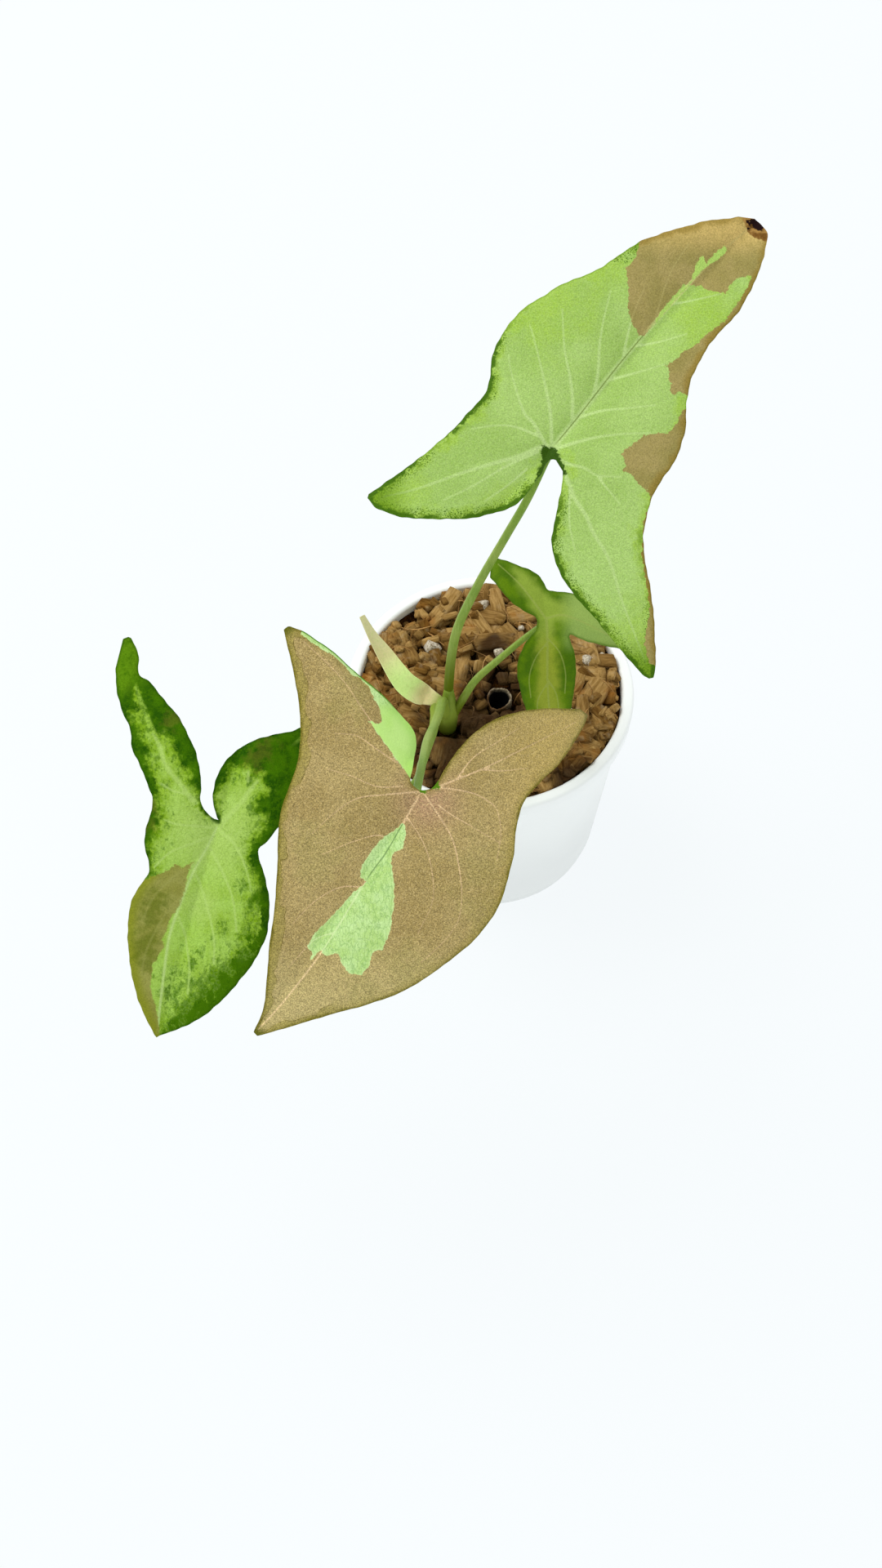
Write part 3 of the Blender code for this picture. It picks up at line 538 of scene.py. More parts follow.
FRONT = Blade(
    "leaf_front",
    joins=(-15.1, -71.7, 124.4),
    tip=(-34.0, -49.0),
    runs=(
        ((-28.5, 31.8), (-27.6, 32.4), (-26.6, 32.2), (-23.5, 30.8), (-18.4, 26.9), (-13.2, 22.5),
         (-9.8, 19.4), (-5.8, 15.6), (-3.0, 12.2), (-2.0, 9.0), (-2.5, 4.5), (-3.0, 1.5),
         (-1.6, -0.2), (0.0, -0.4), (1.8, 0.4), (4.1, 4.1), (7.0, 8.2), (10.5, 11.6),
         (14.4, 14.0), (20.0, 15.7), (26.0, 16.4), (32.2, 16.4)),
        ((34.2, 15.4), (31.5, 10.6), (27.5, 5.3), (23.2, 1.2), (19.6, -2.9), (18.1, -8.5),
         (17.5, -13.7), (16.1, -19.4), (14.3, -24.2), (10.9, -29.1), (6.4, -33.3), (2.0, -36.6),
         (-3.4, -40.1), (-9.2, -42.6), (-20.7, -46.0), (-30.5, -49.1), (-34.0, -50.1)),
        ((-34.8, -49.3), (-32.7, -44.4), (-31.9, -37.9), (-31.3, -31.5), (-30.3, -24.5),
         (-29.7, -17.0), (-29.4, -9.0), (-28.7, -4.0), (-27.0, 0.8), (-25.5, 5.4), (-25.0, 11.0),
         (-25.3, 16.7), (-26.4, 23.1), (-27.7, 28.4)),
    ),
    bends=(1.5, 6.0, 1.5, 5.0, 4.0),
    creases=(
        Crease((6.3, 3.0), (0.9, 0.43), soft=3.0, curve=0.027),
        Crease((-3.4, 2.1), (0.821, 0.571), soft=1.0, slope=1.1, fade=3.0),
    ),
    waves=(0.4, 4, 1.0),
    rough_edge=0.03,
    veins=(
        (0.30, ((-0.8, -0.6), (-4.6, -7.3), (-8.0, -13.1), (-11.9, -18.6), (-20.6, -32.6),
                (-28.8, -43.3), (-33.8, -48.8))),
        (0.22, ((-1.2, -0.7), (-8.0, -1.3), (-13.7, -2.1), (-18.2, -5.0), (-22.5, -9.0))),
        (0.20, ((-5.7, 5.0), (-10.2, 8.1), (-13.7, 10.4), (-18.2, 10.9))),
        (0.16, ((-4.6, 0.4), (-9.6, 0.3), (-14.8, 2.4), (-19.5, 3.8))),
        (0.16, ((-6.7, -10.7), (-9.6, -9.4), (-14.8, -10.8), (-20.5, -13.2))),
        (0.16, ((-12.6, -19.8), (-17.0, -19.8), (-22.0, -22.5), (-26.5, -27.0))),
        (0.16, ((-18.2, -28.9), (-22.5, -30.6), (-27.5, -36.0))),
        (0.20, ((-2.1, 0.9), (-7.3, 8.2), (-12.4, 15.4), (-16.0, 20.7), (-19.8, 25.0), (-24.4, 29.4))),
        (0.22, ((-0.5, -0.8), (2.8, -5.7), (5.2, -9.8), (6.4, -14.2), (7.2, -20.4), (6.7, -25.8),
                (4.2, -30.0), (-0.8, -34.8))),
        (0.22, ((0.6, -0.4), (3.4, 0.0), (9.3, -1.0), (12.7, -2.8), (14.3, -4.6), (15.0, -9.1),
                (14.2, -14.5))),
        (0.18, ((2.6, -3.4), (4.7, -5.0), (9.8, -8.0), (15.0, -11.1))),
        (0.10, ((-3.6, -5.8), (-0.6, -10.5), (1.2, -16.0), (1.4, -22.5), (-1.5, -29.0))),
        (0.24, ((0.9, -0.1), (2.6, 0.3), (10.9, 3.6), (16.7, 6.4), (22.7, 9.4), (31.0, 13.6))),
        (0.16, ((6.2, 1.8), (9.6, 6.1), (13.9, 8.9), (18.6, 11.9))),
        (0.14, ((10.9, 3.6), (15.4, 3.4), (20.5, 4.0))),
    ),
    zones={
        "mint": (
            ((-4.4, -6.6), (-3.9, -9.1), (-4.6, -12.2), (-6.5, -13.0), (-6.8, -14.8), (-6.2, -19.4),
             (-6.4, -24.0), (-7.0, -28.5), (-8.5, -32.3), (-10.3, -32.5), (-11.4, -36.0),
             (-13.1, -37.6), (-15.4, -37.0), (-16.9, -34.8), (-17.5, -32.9), (-20.0, -33.7),
             (-21.0, -32.4), (-23.3, -34.9), (-22.6, -33.3), (-23.8, -31.5), (-21.8, -28.6),
             (-18.3, -25.2), (-15.4, -21.7), (-11.9, -18.8), (-13.1, -17.6), (-12.7, -15.3),
             (-11.4, -13.4), (-9.1, -10.3), (-6.2, -8.5)),
            ((-3.2, 1.8), (-7.5, 8.0), (-12.1, 14.4), (-10.9, 13.2), (-9.6, 12.6), (-8.8, 13.2),
             (-9.4, 15.9), (-10.4, 17.6), (-11.4, 20.2), (-13.3, 21.9), (-15.0, 22.8), (-16.6, 24.6),
             (-19.0, 26.6), (-20.6, 27.5), (-23.1, 29.4), (-25.1, 31.0), (-24.5, 33.3), (-16.7, 29.0),
             (-8.5, 21.7), (0.8, 14.2), (-3.0, 8.0), (-6.0, 10.0), (-8.8, 13.2)),
        ),
        "turned": (
            ((-3.0, 1.9), (-12.1, 14.4), (-10.9, 13.2), (-9.6, 12.6), (-8.8, 13.2), (-9.4, 15.9),
             (-10.2, 19.0), (-6.0, 22.0), (0.8, 14.2), (0.8, 2.4), (-1.8, 0.8)),
        ),
    },
    spots={
        "pink": ((0.5, -2.5, 10.5),),
        "olive": ((-22.0, -13.0, 9.0), (12.0, -16.0, 9.0), (-12.0, -41.0, 7.0), (-16.0, 18.0, 7.0),
                  (10.0, -24.0, 8.0), (-4.0, -37.0, 8.0)),
        "joint": ((1.9, 0.6, 1.3), (-0.4, -0.4, 1.0)),
        "corner": ((-34.4, -50.0, 3.4), (-28.0, 32.2, 3.0)),
    },
)

LEFT = Blade(
    "leaf_left",
    joins=(-57.0, -74.2, 115.5),
    tip=(-12.3, -43.0),
    runs=(
        ((-20.2, 37.4), (-18.8, 37.6), (-17.6, 35.8), (-16.6, 33.4), (-16.6, 30.2), (-14.3, 28.6),
         (-11.9, 25.7), (-8.8, 22.2), (-6.4, 18.2), (-4.3, 13.5), (-3.5, 8.3), (-3.4, 4.0),
         (-2.2, 1.8), (-0.8, 0.7)),
        ((0.0, 0.4), (-0.7, 2.5), (-1.1, 6.0), (-0.2, 9.4), (1.6, 12.6), (3.6, 14.6),
         (6.6, 16.4), (10.0, 17.5), (16.0, 19.3), (20.8, 23.8)),
        ((22.2, 25.2), (20.6, 17.4), (17.6, 9.6), (13.7, 1.4), (10.4, -3.3), (8.2, -5.8),
         (9.1, -9.9), (10.2, -14.3), (10.3, -18.5), (9.6, -23.1), (7.5, -27.6), (4.4, -31.8),
         (0.9, -35.8), (-2.7, -38.9), (-6.3, -41.2), (-12.2, -43.6)),
        ((-13.2, -43.8), (-15.3, -39.7), (-16.8, -35.2), (-17.9, -30.0), (-18.4, -24.6),
         (-18.3, -19.0), (-17.0, -14.6), (-14.0, -9.9), (-14.6, -5.5), (-14.6, -1.6), (-13.2, 3.6),
         (-14.0, 7.5), (-15.7, 11.3), (-17.5, 15.2), (-17.9, 19.0), (-19.7, 22.6), (-20.8, 26.8),
         (-21.3, 31.2)),
    ),
    bends=(2.5, 5.0, 2.0, 5.0, 9.0),
    creases=(Crease((5.4, 5.9), (0.68, 0.74), soft=3.0, curve=0.019),),
    waves=(0.9, 6, 0.0),
    veins=(
        (0.36, ((-0.4, -1.0), (-2.4, -5.1), (-5.2, -10.2), (-7.6, -16.0), (-10.0, -23.0), (-11.3, -30.7),
                (-12.5, -39.1), (-13.0, -43.0))),
        (0.30, ((-0.9, -0.4), (-3.9, 3.0), (-7.5, 7.6), (-10.4, 11.3), (-11.7, 15.1), (-13.5, 18.8),
                (-15.0, 22.6), (-16.7, 26.8), (-18.3, 33.0))),
        (0.30, ((0.3, -0.6), (4.3, 3.6), (7.5, 7.8), (10.8, 11.6), (16.2, 17.0))),
        (0.18, ((-0.9, -1.2), (-4.0, -0.7), (-8.0, -0.4), (-12.0, 1.0))),
        (0.18, ((-1.1, -2.6), (-5.2, -4.2), (-9.6, -6.0), (-12.9, -9.0))),
        (0.18, ((-3.9, -7.8), (-8.6, -10.8), (-13.0, -15.0), (-15.5, -20.0))),
        (0.16, ((-7.0, -14.6), (-11.0, -19.0), (-14.5, -25.5), (-15.8, -31.0))),
        (0.18, ((0.2, -1.6), (3.3, -4.4), (5.7, -9.4), (7.1, -15.3))),
        (0.18, ((-2.1, -4.6), (0.5, -9.2), (2.9, -15.3), (3.7, -21.9))),
        (0.16, ((-4.9, -9.8), (-2.7, -15.6), (-1.0, -22.8), (-1.0, -28.6))),
        (0.14, ((-8.4, -18.3), (-6.8, -23.6), (-6.0, -29.6), (-6.4, -34.8))),
        (0.14, ((-5.6, 5.6), (-9.0, 6.4), (-12.4, 8.4))),
        (0.14, ((6.0, 8.2), (6.2, 11.0), (7.8, 14.0))),
    ),
    zones={
        "pale": (
            ((-16.9, 27.2), (-16.2, 24.6), (-15.3, 22.6), (-14.2, 20.2), (-13.0, 18.6), (-12.2, 17.0),
             (-11.1, 18.6), (-10.6, 18.9), (-9.6, 16.8), (-8.4, 14.8), (-8.2, 12.8), (-6.2, 10.8),
             (-5.6, 8.7), (-4.6, 7.1), (-3.9, 5.2), (-3.7, 3.2), (-2.4, 1.6), (0.0, 0.9), (-0.5, 3.0),
             (-0.5, 5.6), (0.4, 7.1), (1.3, 9.2), (2.6, 11.3), (3.8, 10.7), (5.4, 11.3), (6.7, 10.7),
             (7.5, 9.7), (8.7, 10.5), (9.3, 8.7), (10.8, 6.3), (10.0, 5.3), (8.5, 5.6), (7.7, 4.0),
             (8.2, 2.2), (10.3, 2.0), (10.0, 0.4), (8.3, -1.8), (6.3, -4.4), (6.4, -6.4), (6.7, -8.4),
             (7.5, -10.5), (8.0, -11.9), (8.5, -13.7), (7.2, -15.1), (7.0, -16.3), (8.3, -17.7),
             (8.8, -19.8), (7.7, -21.8), (7.4, -23.0), (5.7, -23.5), (5.4, -25.6), (5.7, -27.3),
             (5.1, -28.7), (3.7, -28.7), (2.5, -30.2), (0.8, -31.1), (-0.9, -33.7), (-3.3, -36.3),
             (-7.0, -39.5), (-10.8, -42.4), (-13.0, -44.0), (-19.0, -42.0), (-22.0, -30.0),
             (-22.0, -20.0), (-17.0, -12.5), (-13.6, -10.2), (-13.7, -7.3), (-13.6, -5.5),
             (-13.3, -3.8), (-12.5, -2.6), (-12.0, -1.2), (-11.3, 0.8), (-12.2, 1.0), (-11.9, 3.0),
             (-12.3, 4.8), (-11.8, 7.1), (-12.4, 8.2), (-13.5, 9.4), (-14.0, 11.3), (-14.2, 13.3),
             (-14.0, 14.9), (-14.5, 15.9), (-15.5, 17.2), (-15.7, 19.0), (-16.2, 20.6), (-16.2, 23.1),
             (-17.1, 25.7)),
            ((-18.2, 22.4), (-17.2, 22.6), (-16.8, 21.0), (-17.6, 20.4)),
        ),
        "tan": (
            ((-5.0, -8.1), (-5.6, -8.2), (-7.0, -9.2), (-7.9, -8.9), (-8.5, -8.2), (-9.9, -9.6),
             (-12.3, -10.5), (-14.2, -11.3), (-18.0, -12.0), (-21.5, -19.0), (-21.6, -25.3),
             (-18.5, -38.3), (-13.9, -46.9), (-12.5, -43.6), (-12.7, -40.9), (-12.8, -38.9),
             (-13.3, -36.6), (-14.0, -34.3), (-14.1, -32.2), (-13.7, -30.5), (-13.3, -28.7),
             (-12.3, -27.0), (-11.1, -25.3), (-11.5, -23.8), (-10.8, -22.7), (-10.2, -20.9),
             (-9.8, -19.5), (-8.8, -18.2), (-7.9, -16.6), (-7.0, -14.5), (-6.5, -12.8), (-6.6, -11.1),
             (-5.9, -9.6)),
        ),
    },
    spots={
        "blotch": (
            (0.5, -20.6, 1.3), (0.8, -21.8, 1.2), (6.0, -21.2, 1.5), (5.9, -24.1, 1.7), (7.6, -15.6, 1.6),
            (-4.7, -26.4, 1.0), (-5.3, -28.5, 1.4), (-7.0, -30.6, 1.8), (-6.3, -33.1, 2.2),
            (-5.6, -35.1, 2.3), (-9.0, -31.5, 2.6), (-9.6, -34.4, 2.2), (8.0, -17.0, 2.6),
            (-3.3, -32.2, 1.7), (0.2, -28.2, 1.7), (-10.2, -37.9, 2.0),
            (0.5, -34.5, 2.6), (3.7, -30.8, 2.4), (2.2, -33.1, 2.4), (-0.9, -36.0, 2.2), (8.0, 3.2, 2.2),
            (6.7, 8.2, 1.4), (3.8, 9.4, 1.1), (4.6, -13.0, 1.6), (-12.2, 13.2, 0.9), (-8.2, -38.4, 1.6),
        ),
        "fresh": ((-20.0, 34.0, 9.0), (-21.0, 29.0, 5.0)),
        "near": ((-1.0, -2.0, 15.0), (-4.0, -16.5, 6.0)),
        "joint": ((-0.5, 1.0, 1.7), (-2.2, 1.9, 1.1), (0.0, 0.2, 1.0)),
        "rust": ((7.4, 12.6, 3.6), (9.5, 15.0, 3.2), (-9.4, 20.4, 2.6), (-13.4, 3.2, 2.2),
                 (-13.6, -0.8, 2.0)),
        "smudge": ((-12.9, -16.3, 4.0), (-13.7, -19.0, 3.4), (-14.6, -26.4, 3.4), (-14.0, -24.0, 3.0),
                   (-14.9, -28.6, 2.8), (-15.6, -25.0, 4.0)),
    },
)

BACK = Blade(
    "leaf_back",
    joins=(11.7, -10.2, 98.6),
    tip=(4.0, -31.0),
    runs=(
        ((-12.4, 13.4), (-11.2, 14.2), (-5.1, 12.1), (-1.6, 10.1), (0.2, 7.2), (1.6, 6.6),
         (6.0, 6.0), (10.5, 2.0), (16.3, -2.8), (19.4, -5.6)),
        ((19.2, -6.7), (13.6, -5.7), (8.0, -4.3), (5.2, -3.2), (5.7, -5.5), (6.6, -8.6),
         (6.7, -12.8), (6.2, -17.1), (5.0, -23.6), (3.9, -30.2)),
        ((3.4, -31.2), (-0.8, -26.2), (-4.6, -19.3), (-6.3, -12.8), (-6.3, -8.5), (-4.2, -4.3),
         (-2.2, -1.8), (-2.4, 0.8), (-5.2, 2.1), (-8.8, 5.2), (-12.6, 9.8)),
    ),
    bends=(1.5, 4.0, 2.0, 16.0, 10.0),
    waves=(0.3, 4, 0.0),
    veins=(
        (0.30, ((0.0, 0.3), (0.2, -3.7), (0.3, -12.8), (1.0, -20.0), (2.5, -27.0), (3.7, -30.8))),
        (0.24, ((-0.3, 0.7), (-2.6, 3.8), (-6.2, 8.4), (-10.8, 12.8))),
        (0.24, ((0.3, 0.6), (3.8, 1.2), (9.3, -0.9), (16.0, -4.4))),
        (0.14, ((0.2, -3.7), (3.0, -7.0), (4.4, -11.5), (4.4, -16.0))),
        (0.14, ((0.2, -4.7), (-2.4, -8.2), (-3.8, -12.5), (-3.4, -17.0))),
        (0.12, ((0.3, -12.8), (2.6, -16.5), (3.4, -22.0))),
        (0.12, ((0.3, -13.8), (-1.8, -17.8), (-1.4, -22.6))),
    ),
    zones={
        "pale": (
            ((-1.2, 0.0), (-1.5, -8.0), (-1.3, -16.0), (0.0, -24.0), (3.4, -30.6), (3.0, -23.0),
             (2.4, -15.0), (2.0, -8.0), (1.4, 0.0), (6.0, 1.2), (12.0, -1.6), (6.0, 3.4), (1.2, 3.8),
             (-2.0, 7.8), (-7.0, 11.2), (-4.4, 5.6), (-2.4, 2.4)),
        ),
    },
    spots={},
)

BLADES = {"tall": TALL, "front": FRONT, "left": LEFT, "back": BACK}


def vein_chains(blade, step):
    """Each vein as a line of even steps, with its half width thinning to the end."""
    chains = []
    for width, route in blade.veins:
        line = smooth_run(route, step)
        widths = width * (1.0 - 0.65 * np.linspace(0.0, 1.0, len(line)))
        chains.append((line, widths))
    return chains


def vein_sides(chains):
    """Starts and ends of all the short sides that the veins are made of."""
    return np.vstack([line[:-1] for line, _, _ in chains]), np.vstack([line[1:] for line, _, _ in chains])


def blade_grid(ring, chains, step):
    """An even grid of points inside a blade, clear of its edge and its veins."""
    low = ring.min(axis=0)
    high = ring.max(axis=0)
    rows = []
    for i, y in enumerate(np.arange(low[1], high[1], step * math.sqrt(0.75))):
        across = np.arange(low[0] + (i % 2) * step / 2.0, high[0], step)
        rows.append(np.stack((across, np.full(len(across), y)), axis=1))
    grid = np.vstack(rows)
    grid = grid[depth_in_ring(grid, ring) > step * 0.6]
    way, _ = way_to_sides(grid, *vein_sides(chains))
    return grid[way > step * 0.55]


def fill_blade(blade, step):
    """Triangles over the whole blade, with corners along its edge and its veins."""
    ring = ragged(closed_outline(blade.runs, step), blade.rough_edge, 3)
    chains = []
    for line, widths in vein_chains(blade, step):
        keep = depth_in_ring(line, ring) > step * 0.4
        if keep.sum() > 1:
            share = np.linspace(0.0, 1.0, len(line))
            chains.append((line[keep], widths[keep], share[keep]))
    points = [ring]
    sides = [(i, (i + 1) % len(ring)) for i in range(len(ring))]
    count = len(ring)
    for line, _, _ in chains:
        points.append(line)
        sides += [(count + i, count + i + 1) for i in range(len(line) - 1)]
        count += len(line)
    points.append(blade_grid(ring, chains, step))
    found = delaunay_2d_cdt([Vector(p) for p in np.vstack(points)], sides, [], 1, 1e-5)
    return np.array([tuple(p) for p in found[0]]), found[2], ring, chains


def vein_reach(flat, chains):
    """Way to the nearest vein, that vein's half width there, and the share of its length."""
    widths = np.concatenate([w[:-1] for _, w, _ in chains])
    shares = np.concatenate([share[:-1] for _, _, share in chains])
    way, which = way_to_sides(flat, *vein_sides(chains))
    return way, widths[which], shares[which]


def blade_facts(blade, flat, chains, facts):
    """What a blade's finishes read at each point, added to what is known already."""
    s, t = flat[:, 0], flat[:, 1]
    rib, _ = way_to_sides(flat, chains[0][0][:-1], chains[0][0][1:])
    facts = facts | {"rib": rib, "s": s, "t": t}
    for mark, places in blade.spots.items():
        facts[mark] = np.max([1.0 - np.hypot(s - a, t - b) / r for a, b, r in places], axis=0)
    for zone, rings in blade.zones.items():
        facts[zone] = np.max([depth_in_ring(flat, np.array(r)) for r in rings], axis=0)
    return facts


def blade_faces(blade, flat, edge, way, width, settings):
    """Points of a blade's upper and lower face, with veins raised and the edge thin."""
    s, t = flat[:, 0], flat[:, 1]
    ridge = np.exp(-(way / (width * VEIN_SPREAD)) ** 2) * smooth_step(edge / 1.5)
    trough = np.exp(-(way / TROUGH_REACH) ** 2) * smooth_step(edge / 3.0)
    swell = width / MAIN_VEIN
    wave = blade.ripple * flat_waves(s, t, 5) * np.exp(-edge / RIPPLE_REACH)
    half = settings.thickness / 2.0 * (0.5 + 0.5 * smooth_step(edge / THIN_EDGE))
    over = half + wave + swell * (settings.vein_height * ridge - settings.quilting * trough)
    under = half - wave + swell * (settings.vein_height * UNDER_VEINS * ridge)
    return np.vstack((blade.place(s, t, over), blade.place(s, t, -under)))


def make_blade(blade, settings, finishes):
    """One blade, with what its finishes read stored on it."""
    flat, faces, ring, chains = fill_blade(blade, settings.step)
    edge, _ = way_to_sides(flat, ring, np.roll(ring, -1, axis=0))
    way, width, gone = vein_reach(flat, chains)
    points = blade_faces(blade, flat, edge, way, width, settings)
    solid = slab_faces(faces, len(flat))
    piece = new_piece(blade.node + "_blade", points, solid, finishes)
    finish_of = np.zeros(len(solid), dtype=np.int32)
    finish_of[len(faces):2 * len(faces)] = 1
    piece.data.polygons.foreach_set("material_index", finish_of)
    piece.data.set_sharp_from_angle(angle=BLADE_SHARP)
    vein = np.minimum(way / np.maximum(width, 0.12), 20.0)
    facts = blade_facts(blade, flat, chains, {"edge": edge, "vein": vein, "gone": gone})
    for name, values in facts.items():
        give(piece, name, np.concatenate((values, values)))
    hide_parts(blade.node)


# Finishes

class Paint:
    """Builds one node-based finish layer by layer."""

    def __init__(self, name, roughness, specular=0.35, gain=LIGHT_GAIN):
        self.gain = gain
        self.finish = bpy.data.materials.new(name)
        self.finish.use_nodes = True
        self.tree = self.finish.node_tree
        self.shader = self.tree.nodes["Principled BSDF"]
        self.shader.inputs["Roughness"].default_value = roughness
        self.shader.inputs["Specular IOR Level"].default_value = specular
        self.normal = None

    def put(self, socket, value):
        """Link a node's output into a socket, or set a plain value."""
        if isinstance(value, bpy.types.NodeSocket):
            self.tree.links.new(value, socket)
        elif isinstance(value, tuple) and len(value) == 3 and socket.type == "RGBA":
            socket.default_value = (*value, 1.0)
        else:
            socket.default_value = value

    def node(self, kind, inputs=(), **options):
        """A node with its options and inputs set."""
        node = self.tree.nodes.new(kind)
        for name, value in options.items():
            setattr(node, name, value)
        for name, value in dict(inputs).items():
            self.put(node.inputs[name], value)
        return node

    def read(self, name):
        """A number stored on the piece's points."""
        return self.node("ShaderNodeAttribute", attribute_name=name).outputs["Fac"]

    def read_vector(self, name):
        """A vector stored on the piece's points."""
        return self.node("ShaderNodeAttribute", attribute_name=name).outputs["Vector"]

    def spot(self, stretch=(1.0, 1.0, 1.0), source=None):
        """Place on the piece in metres, or another vector, stretched."""
        if source is None:
            source = self.node("ShaderNodeTexCoord").outputs["Object"]
        return self.node("ShaderNodeMapping", {"Vector": source, "Scale": stretch}).outputs[0]

    def noise(self, size, detail=2.0, rough=0.5, at=None):
        """Smooth noise whose lumps are about a size in millimetres."""
        at = at or self.spot()
        return self.node("ShaderNodeTexNoise", {
            "Vector": at, "Scale": 1.0 / (size * MM), "Detail": detail, "Roughness": rough,
        }).outputs["Fac"]

    def uneven(self, size, amount, detail=2.0):
        """Smooth noise spread to an amount either side of nothing."""
        return self.rise(self.noise(size, detail), 0.3, 0.7, -amount, amount)

    def cells(self, size, at):
        """Way to the sides of cells of a size in millimetres."""
        return self.node("ShaderNodeTexVoronoi", {"Vector": at, "Scale": 1.0 / (size * MM)},
                         feature="DISTANCE_TO_EDGE").outputs["Distance"]

    def sum(self, a, b, operation="ADD"):
        """Two numbers worked together."""
        node = self.node("ShaderNodeMath", operation=operation)
        self.put(node.inputs[0], a)
        self.put(node.inputs[1], b)
        return node.outputs[0]

    def times(self, *shares):
        """Shares multiplied together."""
        total = shares[0]
        for share in shares[1:]:
            total = self.sum(total, share, "MULTIPLY")
        return total

    def rise(self, value, low, high, bottom=0.0, top=1.0):
        """A smooth rise of one number while another goes from low to high."""
        return self.node("ShaderNodeMapRange", {
            "Value": value, "From Min": low, "From Max": high, "To Min": bottom, "To Max": top,
        }, interpolation_type="SMOOTHSTEP").outputs[0]

    def mix(self, share, a, b, blend="MIX"):
        """One colour laid over another."""
        node = self.node("ShaderNodeMix", data_type="RGBA", blend_type=blend)
        self.put(node.inputs[0], share)
        self.put(node.inputs[6], a)
        self.put(node.inputs[7], b)
        return node.outputs[2]

    def jagged(self, depth, size, amount, soft):
        """A zone whose edge is broken up by noise."""
        rough = self.rise(self.noise(size, 3.0, 0.6), 0.25, 0.75, -amount, amount)
        return self.rise(self.sum(depth, rough), -soft, soft)

    def tone(self, red, green, blue):
        """A colour as it looks in the light, turned into the surface's own colour."""
        return tuple(max(v - GLOSS, 0.001) / self.gain for v in linear(red, green, blue))

    def lay(self, share, base, colour):
        """A colour as it looks in the light, laid over another."""
        return self.mix(share, base, self.tone(*colour))

    def layers(self, base, *rows):
        """A colour with others laid over it in turn; a row is a colour and its shares."""
        for colour, *shares in rows:
            base = self.lay(self.times(*shares), base, colour)
        return base

    def blend(self, size, first, second, low=0.35, high=0.65):
        """Two tones that run into each other in soft patches."""
        return self.mix(self.rise(self.noise(size), low, high), self.tone(*first), self.tone(*second))

    def grain(self, colour, size, amount):
        """Fine light and dark grain over a colour."""
        speck = self.rise(self.noise(size, 2.0, 0.6), 0.28, 0.72, 1.0 - amount, 1.0 + amount)
        grey = self.node("ShaderNodeCombineColor", {"Red": speck, "Green": speck, "Blue": speck})
        return self.mix(1.0, colour, grey.outputs[0], "MULTIPLY")

    def threads(self, size, width):
        """Fine wandering lines."""
        away = self.sum(self.sum(self.noise(size, 1.0), 0.5, "SUBTRACT"), 0.0, "ABSOLUTE")
        return self.rise(away, 0.0, width, 1.0, 0.0)

    def pulled(self, size, place):
        """A place with smooth random shifts, so that cells laid there look grown."""
        pull = self.node("ShaderNodeTexNoise", {"Vector": self.spot(), "Scale": 0.8 / (size * MM)})
        shift = self.node("ShaderNodeVectorMath", operation="MULTIPLY_ADD")
        self.put(shift.inputs[0], pull.outputs["Color"])
        shift.inputs[1].default_value = (size * MM * 0.9,) * 3
        self.put(shift.inputs[2], place)
        return shift.outputs[0]

    def net(self, size, width):
        """Lines of the fine vein net."""
        return self.rise(self.cells(size, self.pulled(size, self.spot())), width, width * 3.0, 1.0, 0.0)

    def flecks(self, size, share):
        """Uneven dark flecks, more of them where the share is high."""
        thick = self.sum(self.noise(size), self.times(share, 0.12))
        return self.times(self.rise(thick, 0.60, 0.66), self.rise(share, 0.02, 0.25))

    def mottle(self, size, share, at=None):
        """Soft uneven patches, more of them where the share is high."""
        thick = self.sum(self.noise(size, 5.0, 0.7, at), self.times(share, 0.35))
        return self.rise(thick, 0.63, 0.78)

    def bump(self, height, depth, strength=1.0):
        """Fine relief, its full height in millimetres."""
        inputs = {"Height": height, "Distance": depth * MM, "Strength": strength}
        if self.normal is not None:
            inputs["Normal"] = self.normal
        self.normal = self.node("ShaderNodeBump", inputs).outputs[0]

    def done(self, colour, roughness=None):
        """Join colour, roughness and relief to the shader."""
        self.put(self.shader.inputs["Base Color"], colour)
        if roughness is not None:
            self.put(self.shader.inputs["Roughness"], roughness)
        if self.normal is not None:
            self.put(self.shader.inputs["Normal"], self.normal)
        return self.finish


def leaf_relief(p, net_size, pits):
    """The fine relief that all blades share."""
    p.bump(p.net(net_size, 0.05), 0.04, 0.5)
    p.bump(p.noise(0.45), pits, 0.5)
    p.bump(p.noise(2.6), 0.12, 0.5)


